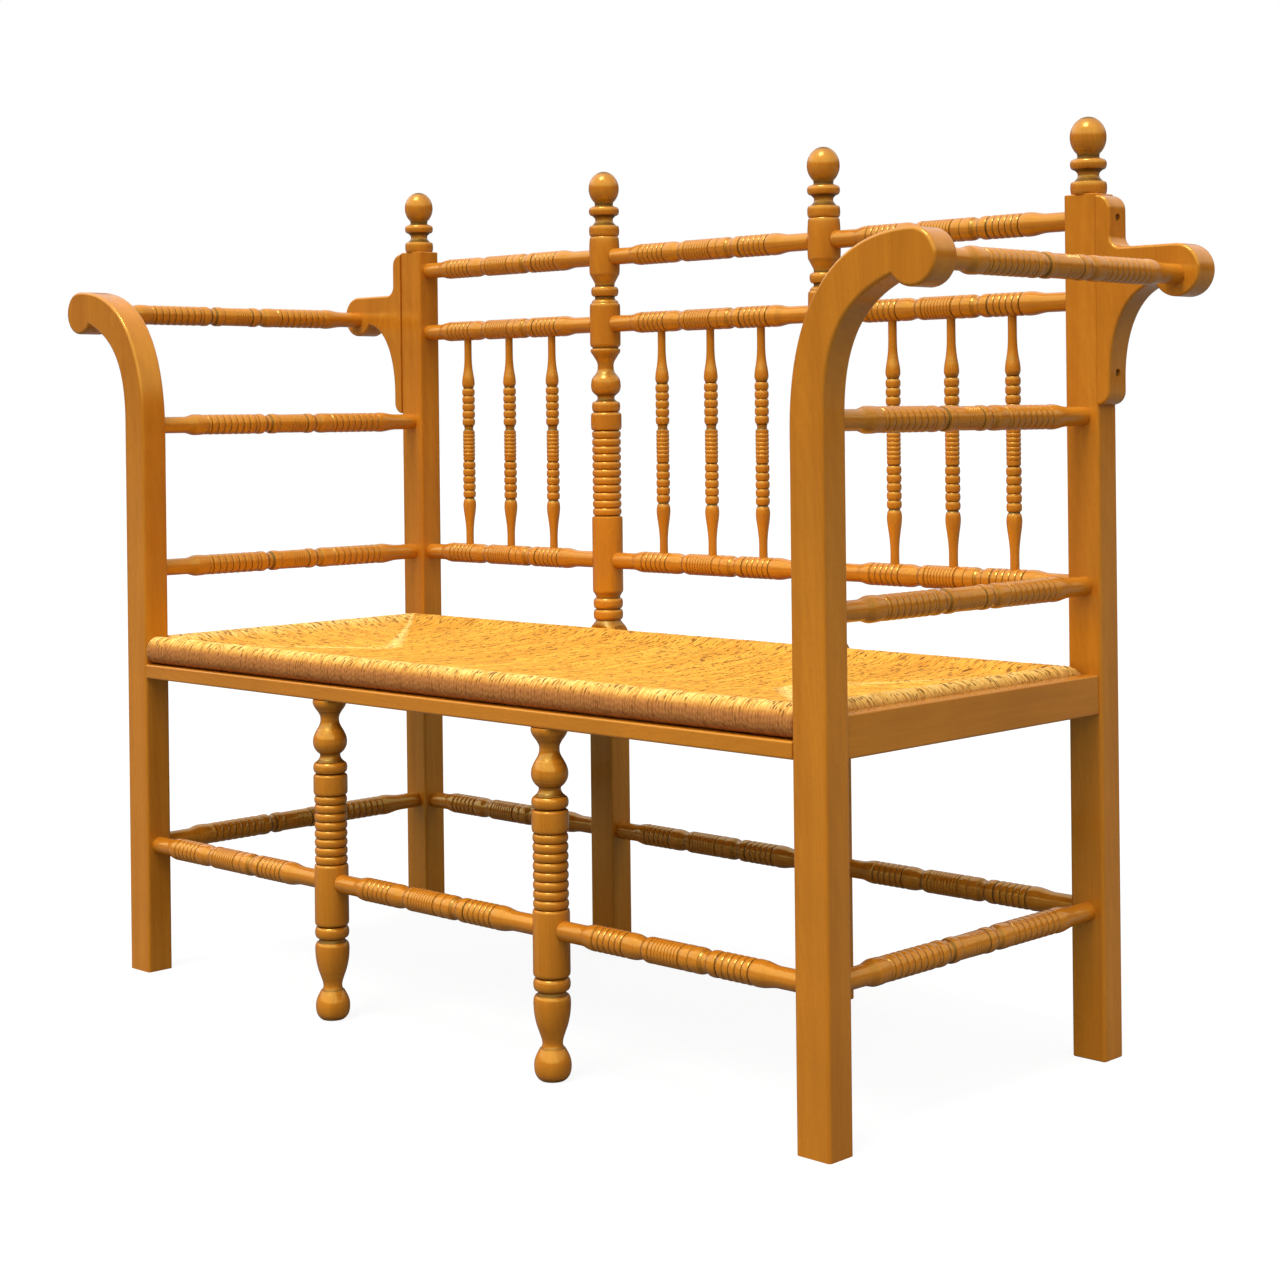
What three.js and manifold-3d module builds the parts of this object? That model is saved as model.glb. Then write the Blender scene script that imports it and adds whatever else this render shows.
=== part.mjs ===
// Varnished settle: square posts, sawn scroll arms, a turned spindle back in three bays and a rush slip seat.
// Millimetres, +Z up, front towards -Y. The origin is on the floor, under the middle of the whole settle.

import * as THREE from "three";
import { mergeVertices } from "three/addons/utils/BufferGeometryUtils.js";
import Module from "manifold-3d";

const wasm = await Module();
wasm.setup();

// Plan of the frame
const frame_width = 1250; // across the outer faces of the end posts
const frame_setback = 495; // front face of the front posts to front face of the rear posts

// Square end posts, all four of one section
const post_width = 45;
const post_depth = 38;
const post_ease = 3; // chamfer along every arris
const rear_post_height = 1005;

// Sawn scroll at the top of a front post
const scroll_reach = 135.5; // post axis to scroll axis
const scroll_drop = 99; // top of the rear posts down to the axis of the scroll and the top arm rod
const scroll_radius = 30;
const sweep_drop = 171; // scroll axis down to where the inner edge leaves the upright
const throat_drop = 154; // scroll axis down to where the outer edge leaves the upright
const notch_run = 36; // scroll axis back to the lip of the notch under the scroll
const notch_drop = 20;
const scroll_end_angle = (-146.6 * Math.PI) / 180; // where the scroll's round runs out into the notch
const sweep_handle_shares = [0.65, 0.63];
const throat_handle_shares = [0.61, 0.15, 0.58];

// Ear bracket on the outer side of a rear post
const bracket_depth = 34;
const bracket_ease = 2.5;
const bracket_tip_radius = 30;
const bracket_tip_rise = 5; // its axis over the axis of the arm rod that it holds
const bracket_top_drop = 2; // below the top of the post
const bracket_lobe = 18; // how far the upper lobe stands off the post
const bracket_crook = 14; // radius of the hollow between the lobe and the arm
const bracket_notch_run = 28;
const bracket_notch_drop = 14;
const bracket_leg = 16; // thickness of the lower leg against the post
const bracket_leg_drop = 116; // scroll axis down to the top of the lower leg
const bracket_foot_drop = 30; // top of the lower leg down to its foot
const bracket_handle_shares = [0.58, 0.05, 0.56];

// Screws that hold a bracket to its post
const upper_screw_drop = 27; // below the top of the bracket
const lower_screw_rise = 37; // above its foot
const screw_radius = 2.2;
const screw_length = 34;
const screw_head_radius = 4.4;
const screw_head_height = 2.6;
const screw_recess = 5; // depth of the counterbore in the bracket's edge
const screw_sides = 6;

// Turned rods: back rails and stretchers run along a bay, arm rods and side stretchers from front to back
const rod_radius = 14.5; // over the swells and barrels
const rod_end_radius = 11.5; // the slim ends, which are also the tenons
const rod_sides = 6;
const rail_rings = 3; // in each of a back rail's two runs of rings
const side_rod_tenon = 18;
const arm_toe_in = 9; // how far a top arm rod draws in from the scroll to the bracket
const bore_wall = 1; // wood left between two tenons that meet inside a post
const mid_tenon_gap = 16; // wood left between the ends of two rods in a mid post
const upper_rail_drop = 94; // top back rail down to the upper one
const middle_rod_share = 0.5534; // of the height from the lower arm rod to the top one
const lower_rod_gap = 77.2; // between the rush and the lower arm rods and back rails
const stretcher_height = 172;

// Spindles between the upper and lower back rails
const spindles_per_bay = 3;
const spindle_beads = 5; // in each of a spindle's two runs
const spindle_pitch = 91;
const spindle_radius = 9.5; // over the beads
const spindle_neck_radius = 5.8; // the plain ends, which are also the tenons
const spindle_sides = 6;
const spindle_seat = 5; // from a rail's axis to the end of a spindle in it

// Mid posts and mid legs, turned over most of their height
const turned_radius = 21.5; // over the drums and collars
const turned_sides = 8;
const column_rings = 11;
const leg_rings = 8;
const mid_leg_width = 43;
const mid_leg_depth = 38;
const pommel_stand = 4.7; // how far the square leg stands above the rush, where a turned shoulder ends it
const pommel_rise = 18;
const column_root_radius = 12; // of the turned column where it starts inside that shoulder
const top_drum_half = 29; // plain drums round the rods that enter a mid post
const upper_drum_half = 32;
const lower_drum_rise = 60;
const lower_drum_drop = 42;
const leg_drum_rise = 22;
const leg_drum_drop = 51;
const leg_tenon_radius = 9;
const leg_tenon_length = 13;

// Ball finials: the top of each mid post, and separate turnings on the end posts
const finial_height = 91;
const finial_dowel_radius = 6;
const finial_dowel_length = 25;
const dowel_sides = 6;

// Seat rails
const seat_rail_bottom = 402;
const front_rail_height = 19;
const side_rail_height = 46;
const side_rail_width = 20;
const side_rail_inset = 3; // outer face behind the posts' outer faces
const rear_rail_depth = 38;
const rail_tenon_length = 8;
const rail_tenon_width = 24;
const side_tenon_length = 16;
const side_tenon_width = 11;
const tenon_shoulder = 4; // cut back above and below each seat rail tenon

// Rush slip seat: a roll all round, and a dished field whose courses meet on mitre lines
const roll_height = 37;
const roll_back_inset = 34; // where the roll starts to fall away behind
const roll_back_fall = 3.5;
const valley_inset = 50; // foot of the roll
const valley_fall = 10;
const slope_inset = 130; // where the field flattens towards the middle
const slope_fall = 15.5;
const dish_fall = 20; // roll top down to the middle of the seat
const underside_inset = 60;
const underside_slope = 30;
const underside_rise = 9;

// The four-rail frame inside the rush
const slip_rail_cover = 8; // rush outside the frame rails, and under them
const slip_rail_width = 26;
const slip_rail_height = 20;
const slip_tenon_width = 9;
const slip_tenon_height = 12;
const slip_tenon_length = 14;

// Fits
const clearance = 0.3;
const overrun = 1; // how far a cut runs past the face it opens

// Places worked out from the sizes above
const scroll_height = rear_post_height - scroll_drop;
const sweep_start = scroll_height - sweep_drop;
const throat_start = scroll_height - throat_drop;
const bracket_top = rear_post_height - bracket_top_drop;
const bracket_tip_height = scroll_height + bracket_tip_rise;
const bracket_leg_top = scroll_height - bracket_leg_drop;
const bracket_foot = bracket_leg_top - bracket_foot_drop;
const upper_screw_height = bracket_top - upper_screw_drop;
const lower_screw_height = bracket_foot + lower_screw_rise;
const post_axis_x = (frame_width - post_width) / 2;
const post_face = post_width / 2; // from a post's axis to its inner or outer face
const post_front = post_depth / 2; // from a post's axis to its front or rear face
const bay = (2 * post_axis_x) / 3;
const mid_axis_x = bay / 2;
const top_rod_x = post_axis_x + scroll_reach - arm_toe_in / 2; // halfway back
const toe_degrees = (Math.atan(arm_toe_in / frame_setback) * 180) / Math.PI;
const front_axis_y = -frame_setback / 2;
const rear_axis_y = frame_setback / 2;
const post_tenon = post_face - rod_end_radius - bore_wall - 2 * clearance; // of a rod in an end post
const bracket_axis_y = rear_axis_y - (post_depth - bracket_depth) / 2; // its front face flush with the post's
const seat_bottom = seat_rail_bottom + front_rail_height + clearance;
const seat_top = seat_bottom + roll_height;
const seat_front_y = front_axis_y - post_front;
const seat_rear_y = rear_axis_y - post_front - clearance;
const pommel_top = seat_top + pommel_stand;
const lower_rod_height = seat_top + lower_rod_gap + rod_radius;
const arm_rod_heights = {
  top: scroll_height,
  middle: lower_rod_height + middle_rod_share * (scroll_height - lower_rod_height),
  lower: lower_rod_height,
};
const back_rail_heights = {
  top: rear_post_height - top_drum_half,
  upper: rear_post_height - top_drum_half - upper_rail_drop,
  lower: lower_rod_height,
};
const side_rail_outer_x = post_axis_x + post_face - side_rail_inset;
const side_rail_inner_x = side_rail_outer_x - side_rail_width;
const side_rail_axis_x = (side_rail_inner_x + side_rail_outer_x) / 2;
const side_tenon_rise = [
  seat_rail_bottom + tenon_shoulder,
  seat_rail_bottom + side_rail_height - tenon_shoulder,
];
const front_tenon_rise = [
  seat_rail_bottom + tenon_shoulder,
  seat_rail_bottom + front_rail_height - tenon_shoulder,
];

const wood = { color: 0xc8802c, roughness: 0.35, metalness: 0 };
const rush = { color: 0xd9a748, roughness: 0.8, metalness: 0 };
const steel = { color: 0x8d8578, roughness: 0.4, metalness: 0.9 };

// Solids. A three.js geometry becomes a closed solid, so that pieces can be joined and cut.

function solid(geometry) {
  const bare = geometry.clone();
  bare.deleteAttribute("normal");
  bare.deleteAttribute("uv");
  const merged = mergeVertices(bare);
  const vertProperties = merged.attributes.position.array;
  const triVerts = new Uint32Array(merged.index.array);
  return new wasm.Manifold(new wasm.Mesh({ numProp: 3, vertProperties, triVerts }));
}

function join(first, ...others) {
  return others.reduce((whole, part) => whole.add(part), first);
}

function cut(blank, ...tools) {
  return tools.reduce((rest, tool) => rest.subtract(tool), blank);
}

function trim(blank, ...limits) {
  return limits.reduce((rest, limit) => rest.intersect(limit), blank);
}

function piece(name, shape, finish, place) {
  const { vertProperties, triVerts } = shape.getMesh();
  const geometry = new THREE.BufferGeometry();
  geometry.setAttribute("position", new THREE.BufferAttribute(vertProperties, 3));
  geometry.setIndex(new THREE.BufferAttribute(triVerts, 1));
  geometry.computeVertexNormals();
  const mesh = new THREE.Mesh(geometry, new THREE.MeshStandardMaterial(finish));
  mesh.name = name;
  mesh.position.set(...place);
  return mesh;
}

const at_origin = [0, 0, 0];
const quarter_turn = Math.PI / 2;

function block([x0, x1], [y0, y1], [z0, z1]) {
  const geometry = new THREE.BoxGeometry(x1 - x0, y1 - y0, z1 - z0);
  return solid(geometry.translate((x0 + x1) / 2, (y0 + y1) / 2, (z0 + z1) / 2));
}

function around(centre, width) {
  return [centre - width / 2, centre + width / 2];
}

// A block grown by the clearance on every side, to cut the mortise of a tenon
function mortise(...spans) {
  return block(...spans.map(([from, to]) => [from - clearance, to + clearance]));
}

// Points along a round and along a freehand curve, for outlines in the XZ plane
function arc([x, z], radius, from, to, steps) {
  return new THREE.EllipseCurve(x, z, radius, radius, from, to, to < from).getPoints(steps);
}

function sweep(steps, ...controls) {
  const points = controls.map(([x, z]) => new THREE.Vector2(x, z));
  return new THREE.CubicBezierCurve(...points).getPoints(steps);
}

// A board sawn to an outline in the XZ plane, with its middle at y = 0 and every arris eased
function sawn(outline, depth, ease) {
  const geometry = new THREE.ExtrudeGeometry(outline, {
    depth: depth - 2 * ease,
    bevelThickness: ease,
    bevelSize: ease,
    bevelOffset: -ease,
    bevelSegments: 1,
  });
  return solid(geometry.rotateX(Math.PI / 2).translate(0, depth / 2 - ease, 0));
}

// An upright of chamfered rectangular section, standing on the floor
function upright(width, depth, height, ease) {
  const outline = new THREE.Shape();
  outline.moveTo(ease - width / 2, -depth / 2);
  outline.lineTo(width / 2 - ease, -depth / 2);
  outline.lineTo(width / 2, ease - depth / 2);
  outline.lineTo(width / 2, depth / 2 - ease);
  outline.lineTo(width / 2 - ease, depth / 2);
  outline.lineTo(ease - width / 2, depth / 2);
  outline.lineTo(-width / 2, depth / 2 - ease);
  outline.lineTo(-width / 2, ease - depth / 2);
  return solid(new THREE.ExtrudeGeometry(outline, { depth: height, bevelEnabled: false }));
}

// Turnings. A profile lists [station along the axis, radius], and the lathe spins it.

function turned(profile, sides, axis, place = at_origin) {
  const [first] = profile;
  const last = profile[profile.length - 1];
  const points = [[first[0], 0], ...profile, [last[0], 0]];
  const geometry = new THREE.LatheGeometry(
    points.map(([station, radius]) => new THREE.Vector2(radius, station)),
    sides,
  );
  if (axis === "x") geometry.rotateZ(-Math.PI / 2);
  if (axis === "z") geometry.rotateX(Math.PI / 2);
  return solid(geometry.translate(...place));
}

function peg(from, to, radius, sides, axis, place) {
  const profile = [
    [from, radius],
    [to, radius],
  ];
  return turned(profile, sides, axis, place);
}

// A hole for a peg of the same sides, with the clearance all round its flats
function bore(from, to, radius, sides, axis, place) {
  return peg(from, to, radius + clearance / Math.cos(Math.PI / sides), sides, axis, place);
}

// A table of shares laid along a stretch of the axis
function spread(shares, from, to, radius) {
  return shares.map(([station_share, radius_share]) => [
    from + station_share * (to - from),
    radius_share * radius,
  ]);
}

// A run of rings: a valley at each end and between the crests
function ringShares(from_share, to_share, crests, crest_share, valley_share) {
  return Array.from({ length: 2 * crests + 1 }, (_, i) => [
    from_share + ((to_share - from_share) * i) / (2 * crests),
    i % 2 ? crest_share : valley_share,
  ]);
}

// Bay rails and stretchers: one turning, the same way round in all three bays.
// Its stations are shares of half a bay, counted from the middle of the bay.

const rod_swell_shares = [
  [-0.705, 0.8],
  [-0.63, 1],
];
const rod_left_ring_shares = ringShares(-0.595, -0.438, rail_rings, 0.98, 0.86);
const rod_middle_shares = [
  [-0.42, 1],
  [-0.3, 0.98],
  [-0.25, 0.83],
  [-0.22, 1],
  [0.2, 1],
  [0.235, 0.83],
  [0.265, 1],
];
const rod_right_ring_shares = ringShares(0.328, 0.478, rail_rings, 0.98, 0.86);
const rod_right_barrel_shares = [
  [0.505, 1],
  [0.637, 0.98],
  [0.711, 0.8],
];

function bayRod(bayName, ringed) {
  const shares = [
    ...rod_swell_shares,
    ...(ringed ? rod_left_ring_shares : []),
    ...rod_middle_shares,
    ...(ringed ? rod_right_ring_shares : []),
    ...rod_right_barrel_shares,
  ];
  const in_mid_post = bay / 2 - mid_tenon_gap / 2;
  const in_end_post = bay / 2 - post_face + post_tenon;
  const left = bayName === "left" ? in_end_post : in_mid_post;
  const right = bayName === "right" ? in_end_post : in_mid_post;
  const profile = [
    [-left, rod_end_radius],
    ...spread(shares, 0, bay / 2, rod_radius),
    [right, rod_end_radius],
  ];
  return turned(profile, rod_sides, "x");
}

function backRail(level, bayName) {
  const inward = { top: 0, upper: -1, lower: 1 }[level];
  const near = inward * (spindle_seat - clearance);
  const far = inward * (rod_radius + overrun);
  const bores = spindlePlaces().map((x) =>
    bore(Math.min(near, far), Math.max(near, far), spindle_neck_radius, spindle_sides, "z", [x, 0, 0]),
  );
  const shape = cut(bayRod(bayName, true), ...(inward ? bores : []));
  const place = [bayCentre(bayName), rear_axis_y, back_rail_heights[level]];
  return piece(`back_rail_${level}_${bayName}`, shape, wood, place);
}

function bayStretcher(row, bayName) {
  const place = [bayCentre(bayName), row === "front" ? front_axis_y : rear_axis_y, stretcher_height];
  return piece(`stretcher_${row}_${bayName}`, bayRod(bayName, false), wood, place);
}

function bayCentre(bayName) {
  return { left: -bay, centre: 0, right: bay }[bayName];
}

// Spindles: stations are shares of the height between the lower and upper rail

const spindle_shares = [
  [0.11, 0.61],
  [0.163, 0.8],
  [0.215, 1],
  [0.241, 0.87],
  ...ringShares(0.253, 0.413, spindle_beads, 0.98, 0.76),
  [0.42, 0.91],
  [0.548, 0.91],
  [0.562, 0.68],
  ...ringShares(0.574, 0.741, spindle_beads, 0.98, 0.76),
  [0.765, 0.98],
  [0.813, 0.76],
  [0.86, 0.61],
];

function spindlePlaces() {
  const middle = (spindles_per_bay - 1) / 2;
  return Array.from({ length: spindles_per_bay }, (_, i) => (i - middle) * spindle_pitch);
}

function spindle(bayName, x, number) {
  const span = back_rail_heights.upper - back_rail_heights.lower;
  const profile = [
    [spindle_seat, spindle_neck_radius],
    ...spread(spindle_shares, 0, span, spindle_radius),
    [span - spindle_seat, spindle_neck_radius],
  ];
  const place = [bayCentre(bayName) + x, rear_axis_y, back_rail_heights.lower];
  return piece(`spindle_${bayName}_${number}`, turned(profile, spindle_sides, "z"), wood, place);
}

// Arm rods and side stretchers: stations are shares of half the setback, counted from its middle to the rear

const side_rod_shares = [
  [-0.743, 0.79],
  [-0.667, 1],
  [-0.614, 0.93],
  [-0.26, 0.93],
  [-0.23, 1],
  [-0.182, 0.8],
  [-0.133, 0.98],
  [-0.089, 0.9],
  [0.089, 0.9],
  [0.121, 0.98],
  [0.17, 0.81],
  [0.205, 0.98],
  [0.63, 0.95],
  [0.667, 1],
  [0.792, 0.79],
];

function sideRod(name, x, height, turn = 0) {
  const half = frame_setback / 2 - post_front + side_rod_tenon - clearance;
  const profile = [
    [-half, rod_end_radius],
    ...spread(side_rod_shares, 0, frame_setback / 2, rod_radius),
    [half, rod_end_radius],
  ];
  const rod = turned(profile, rod_sides, "y").rotate([0, 0, turn]);
  return piece(name, rod, wood, [x, 0, height]);
}

// Blind hole for a side rod in the face of a post, `toward` the rear or the front
function sideRodBore(toward, z) {
  const mouth = toward * (post_front + overrun);
  const end = toward * (post_front - side_rod_tenon);
  return bore(Math.min(mouth, end), Math.max(mouth, end), rod_end_radius, rod_sides, "y", [0, 0, z]);
}

// Blind hole for a top arm rod, along its slanting axis. `place` is the rod's middle, seen from the piece's own.
function topRodBore(toward, place) {
  const face = frame_setback / 2 - post_front;
  const mouth = toward * (face - overrun);
  const end = toward * (face + side_rod_tenon);
  const span = [Math.min(mouth, end), Math.max(mouth, end)];
  return bore(...span, rod_end_radius, rod_sides, "y").rotate([0, 0, toe_degrees]).translate(place);
}

// Mortise for a side seat rail in the face of a post
function sideRailMortise(toward) {
  const mouth = toward * (post_front + overrun);
  const end = toward * (post_front - side_tenon_length);
  return mortise(
    around(side_rail_axis_x - post_axis_x, side_tenon_width),
    [Math.min(mouth, end), Math.max(mouth, end)],
    side_tenon_rise,
  );
}

// Blind hole for a bay rod in the inner face of an end post
function bayRodBore(z) {
  const end = post_tenon + clearance - post_face;
  return bore(-post_face - overrun, end, rod_end_radius, rod_sides, "x", [0, 0, z]);
}

// Front posts: upright and scroll are sawn from one board

function scrollPostOutline() {
  const lip_x = scroll_reach - notch_run;
  const lip_z = scroll_height - notch_drop;
  const sweep_rise = scroll_height + scroll_radius - sweep_start;
  const sweep_reach = scroll_reach + post_face;
  const throat_rise = lip_z - throat_start;
  const throat_reach = lip_x - post_face;
  const [sweep_up, sweep_back] = sweep_handle_shares;
  const [throat_back, throat_down, throat_up] = throat_handle_shares;
  const scroll_top = scroll_height + scroll_radius;
  return new THREE.Shape([
    new THREE.Vector2(-post_face, 0),
    ...sweep(
      8,
      [-post_face, sweep_start],
      [-post_face, sweep_start + sweep_up * sweep_rise],
      [scroll_reach - sweep_back * sweep_reach, scroll_top],
      [scroll_reach, scroll_top],
    ).slice(0, -1),
    ...arc([scroll_reach, scroll_height], scroll_radius, quarter_turn, scroll_end_angle, 12),
    ...sweep(
      8,
      [lip_x, lip_z],
      [lip_x - throat_back * throat_reach, lip_z - throat_down * throat_rise],
      [post_face, throat_start + throat_up * throat_rise],
      [post_face, throat_start],
    ),
    new THREE.Vector2(post_face, 0),
  ]);
}

function frontPost(side) {
  const shape = cut(
    sawn(scrollPostOutline(), post_depth, post_ease),
    topRodBore(-1, [top_rod_x - post_axis_x, -front_axis_y, arm_rod_heights.top]),
    sideRodBore(1, arm_rod_heights.middle),
    sideRodBore(1, arm_rod_heights.lower),
    sideRodBore(1, stretcher_height),
    bayRodBore(stretcher_height),
    mortise(
      [-post_face - overrun, rail_tenon_length - post_face],
      around(0, rail_tenon_width),
      front_tenon_rise,
    ),
    sideRailMortise(1),
  );
  return piece(`front_post_${side}`, shape, wood, [post_axis_x, front_axis_y, 0]);
}

// Rear posts, with an ear bracket screwed to the outer side and a finial dowelled into the top

function rearPost(side) {
  const dowel_end = rear_post_height - finial_dowel_length - clearance;
  const shape = cut(
    upright(post_width, post_depth, rear_post_height, post_ease),
    bore(dowel_end, rear_post_height + overrun, finial_dowel_radius, dowel_sides, "z"),
    sideRodBore(-1, arm_rod_heights.middle),
    sideRodBore(-1, arm_rod_heights.lower),
    sideRodBore(-1, stretcher_height),
    ...Object.values(back_rail_heights).map(bayRodBore),
    bayRodBore(stretcher_height),
    sideRailMortise(-1),
    ...screwHoles().map((hole) => hole.translate(post_face, bracket_axis_y - rear_axis_y, 0)),
  );
  return piece(`rear_post_${side}`, shape, wood, [post_axis_x, rear_axis_y, 0]);
}

// The bracket's outline, counted from the outer face of its post
function bracketOutline() {
  const face = clearance;
  const tip_x = scroll_reach - arm_toe_in - post_face;
  const arm_top = bracket_tip_height + bracket_tip_radius;
  const lip_x = tip_x - bracket_notch_run;
  const lip_z = bracket_tip_height - bracket_notch_drop;
  const under_rise = lip_z - bracket_leg_top;
  const under_reach = lip_x - bracket_leg;
  const [under_back, under_down, under_up] = bracket_handle_shares;
  const lobe_radius = bracket_lobe - face;
  const foot_radius = bracket_leg - face;
  const crook = [bracket_lobe + bracket_crook, arm_top + bracket_crook];
  return new THREE.Shape([
    ...arc([face, bracket_top - lobe_radius], lobe_radius, quarter_turn, 0, 3),
    ...arc(crook, bracket_crook, 2 * quarter_turn, 3 * quarter_turn, 3),
    ...arc([tip_x, bracket_tip_height], bracket_tip_radius, quarter_turn, scroll_end_angle, 10),
    ...sweep(
      6,
      [lip_x, lip_z],
      [lip_x - under_back * under_reach, lip_z - under_down * under_rise],
      [bracket_leg, bracket_leg_top + under_up * under_rise],
      [bracket_leg, bracket_leg_top],
    ),
    ...arc([face, bracket_foot + foot_radius], foot_radius, 0, -quarter_turn, 3),
  ]);
}

function armBracket(side) {
  const place = [post_axis_x + post_face, bracket_axis_y, 0];
  const rod_hole = topRodBore(1, [top_rod_x - place[0], -place[1], arm_rod_heights.top]);
  const shape = cut(sawn(bracketOutline(), bracket_depth, bracket_ease), rod_hole, ...screwHoles());
  return piece(`arm_bracket_${side}`, shape, wood, place);
}

// Screws lie along X. Stations count outwards from the outer face of the post.

function screwProfile(wood_thickness, gap) {
  const head_top = wood_thickness - screw_recess + screw_head_height;
  const head_seat = wood_thickness - screw_recess;
  return [
    [head_top - screw_length, screw_radius + gap],
    [head_seat - gap, screw_radius + gap],
    [head_seat - gap, screw_head_radius + gap],
  ];
}

function screwHole(wood_thickness, height) {
  const mouth = [wood_thickness + overrun, screw_head_radius + clearance];
  const [tip, ...shank] = screwProfile(wood_thickness, clearance);
  const profile = [[tip[0] - clearance, tip[1]], ...shank, mouth];
  return turned(profile, screw_sides, "x", [0, 0, height]);
}

function screwHoles() {
  return [screwHole(bracket_lobe, upper_screw_height), screwHole(bracket_leg, lower_screw_height)];
}

function bracketScrew(name, wood_thickness, height) {
  const top = [wood_thickness - screw_recess + screw_head_height, screw_head_radius];
  const profile = [...screwProfile(wood_thickness, 0), top];
  const place = [post_axis_x + post_face, bracket_axis_y, height];
  return piece(name, turned(profile, screw_sides, "x"), steel, place);
}

// Ball finial: stations are shares of the finial's height

const finial_shares = [
  [0.016, 0.93],
  [0.09, 1],
  [0.17, 1],
  [0.187, 0.77],
  [0.265, 0.57],
  [0.346, 0.84],
  [0.412, 0.98],
  [0.478, 0.87],
  [0.495, 0.62],
  [0.57, 0.84],
  [0.69, 0.95],
  [0.81, 0.94],
  [0.92, 0.7],
  [0.98, 0.36],
  [1, 0.1],
];

function finial(side) {
  const base = rear_post_height + clearance;
  const profile = spread(finial_shares, 0, finial_height, turned_radius);
  const dowel = peg(-finial_dowel_length, overrun, finial_dowel_radius, dowel_sides, "z");
  const shape = join(turned([[0, profile[0][1]], ...profile], turned_sides, "z"), dowel);
  return piece(`finial_${side}`, shape, wood, [post_axis_x, rear_axis_y, base]);
}

// Mid posts: a square leg under the seat, and a turned column above it up to its ball

const pommel_shares = [
  [0, 1],
  [0.067, 0.865],
  [0.22, 0.95],
  [0.41, 0.8],
  [0.6, 0.9],
  [0.84, 0.77],
];
const column_shares = [
  ...ringShares(0.012, 0.51, column_rings, 0.9, 0.79),
  [0.517, 0.97],
  [0.617, 0.97],
  [0.621, 0.79],
  [0.65, 0.91],
  [0.679, 0.74],
  [0.692, 0.58],
  [0.704, 0.77],
  [0.762, 0.94],
  [0.82, 0.77],
  [0.858, 0.57],
  [0.879, 0.64],
  [0.962, 0.94],
  [0.98, 0.94],
  [0.988, 0.87],
];
const drum_bead_shares = [
  [0.21, 0.77],
  [0.4, 0.87],
  [0.62, 0.77],
];

function drum(from, to) {
  return [
    [from, turned_radius],
    [to, turned_radius],
  ];
}

function midPost(side) {
  const lower_from = back_rail_heights.lower - lower_drum_drop;
  const lower_to = back_rail_heights.lower + lower_drum_rise;
  const upper_from = back_rail_heights.upper - upper_drum_half;
  const upper_to = back_rail_heights.upper + upper_drum_half;
  const top_from = back_rail_heights.top - top_drum_half;
  const top_to = back_rail_heights.top + top_drum_half;
  const column = [
    [pommel_top - pommel_rise, column_root_radius],
    ...spread(pommel_shares, pommel_top, lower_from, turned_radius),
    ...drum(lower_from, lower_to),
    ...spread(column_shares, lower_to, upper_from, turned_radius),
    ...drum(upper_from, upper_to),
    ...spread(drum_bead_shares, upper_to, top_from, turned_radius),
    ...drum(top_from, top_to),
    ...spread(finial_shares, top_to, top_to + finial_height, turned_radius),
  ];
  const shoulder = [
    [-overrun, mid_leg_width],
    [pommel_top - pommel_rise, mid_leg_width],
    [pommel_top - pommel_rise, Math.hypot(mid_leg_width, mid_leg_depth) / 2],
    [pommel_top, turned_radius],
  ];
  const square = upright(mid_leg_width, mid_leg_depth, pommel_top, post_ease);
  const leg = trim(square, turned(shoulder, turned_sides, "z"));
  const rod_heights = [...Object.values(back_rail_heights), stretcher_height];
  const shape = cut(
    join(leg, turned(column, turned_sides, "z")),
    ...rod_heights.flatMap(midPostBores),
    mortise(
      around(0, rail_tenon_width),
      [-mid_leg_depth / 2 - overrun, rail_tenon_length - mid_leg_depth / 2],
      front_tenon_rise,
    ),
  );
  return piece(`back_post_mid_${side}`, shape, wood, [mid_axis_x, rear_axis_y, 0]);
}

// Holes from both sides for the rods that end in a mid post or a mid leg
function midPostBores(z) {
  const near = mid_tenon_gap / 2 - clearance;
  const far = mid_leg_width / 2 + overrun;
  return [
    bore(near, far, rod_end_radius, rod_sides, "x", [0, 0, z]),
    bore(-far, -near, rod_end_radius, rod_sides, "x", [0, 0, z]),
  ];
}

// Mid legs under the front rail: ball foot, cup, drum for the stretchers, rings and ball

const leg_foot_shares = [
  [0, 0.56],
  [0.04, 0.82],
  [0.129, 0.98],
  [0.22, 0.89],
  [0.303, 0.68],
  [0.357, 0.55],
  [0.46, 0.71],
  [0.622, 0.94],
  [0.747, 1],
  [0.805, 0.9],
  [0.83, 0.76],
  [0.913, 1],
  [0.98, 0.76],
];
const leg_top_shares = [
  ...ringShares(0.007, 0.417, leg_rings, 0.94, 0.81),
  [0.43, 1],
  [0.543, 1],
  [0.55, 0.76],
  [0.585, 1],
  [0.62, 0.76],
  [0.668, 0.7],
  [0.7, 0.91],
  [0.743, 0.98],
  [0.785, 0.91],
  [0.816, 0.7],
  [0.854, 0.52],
  [0.907, 0.72],
  [0.956, 0.93],
  [1, 0.98],
];

function midLeg(side) {
  const top = seat_rail_bottom - clearance;
  const drum_from = stretcher_height - leg_drum_drop;
  const drum_to = stretcher_height + leg_drum_rise;
  const profile = [
    ...spread(leg_foot_shares, 0, drum_from, turned_radius),
    ...drum(drum_from, drum_to),
    ...spread(leg_top_shares, drum_to, top, turned_radius),
    [top, leg_tenon_radius],
    [top + leg_tenon_length, leg_tenon_radius],
  ];
  const shape = cut(turned(profile, turned_sides, "z"), ...midPostBores(stretcher_height));
  return piece(`front_leg_mid_${side}`, shape, wood, [mid_axis_x, front_axis_y, 0]);
}

// Seat rails

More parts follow.
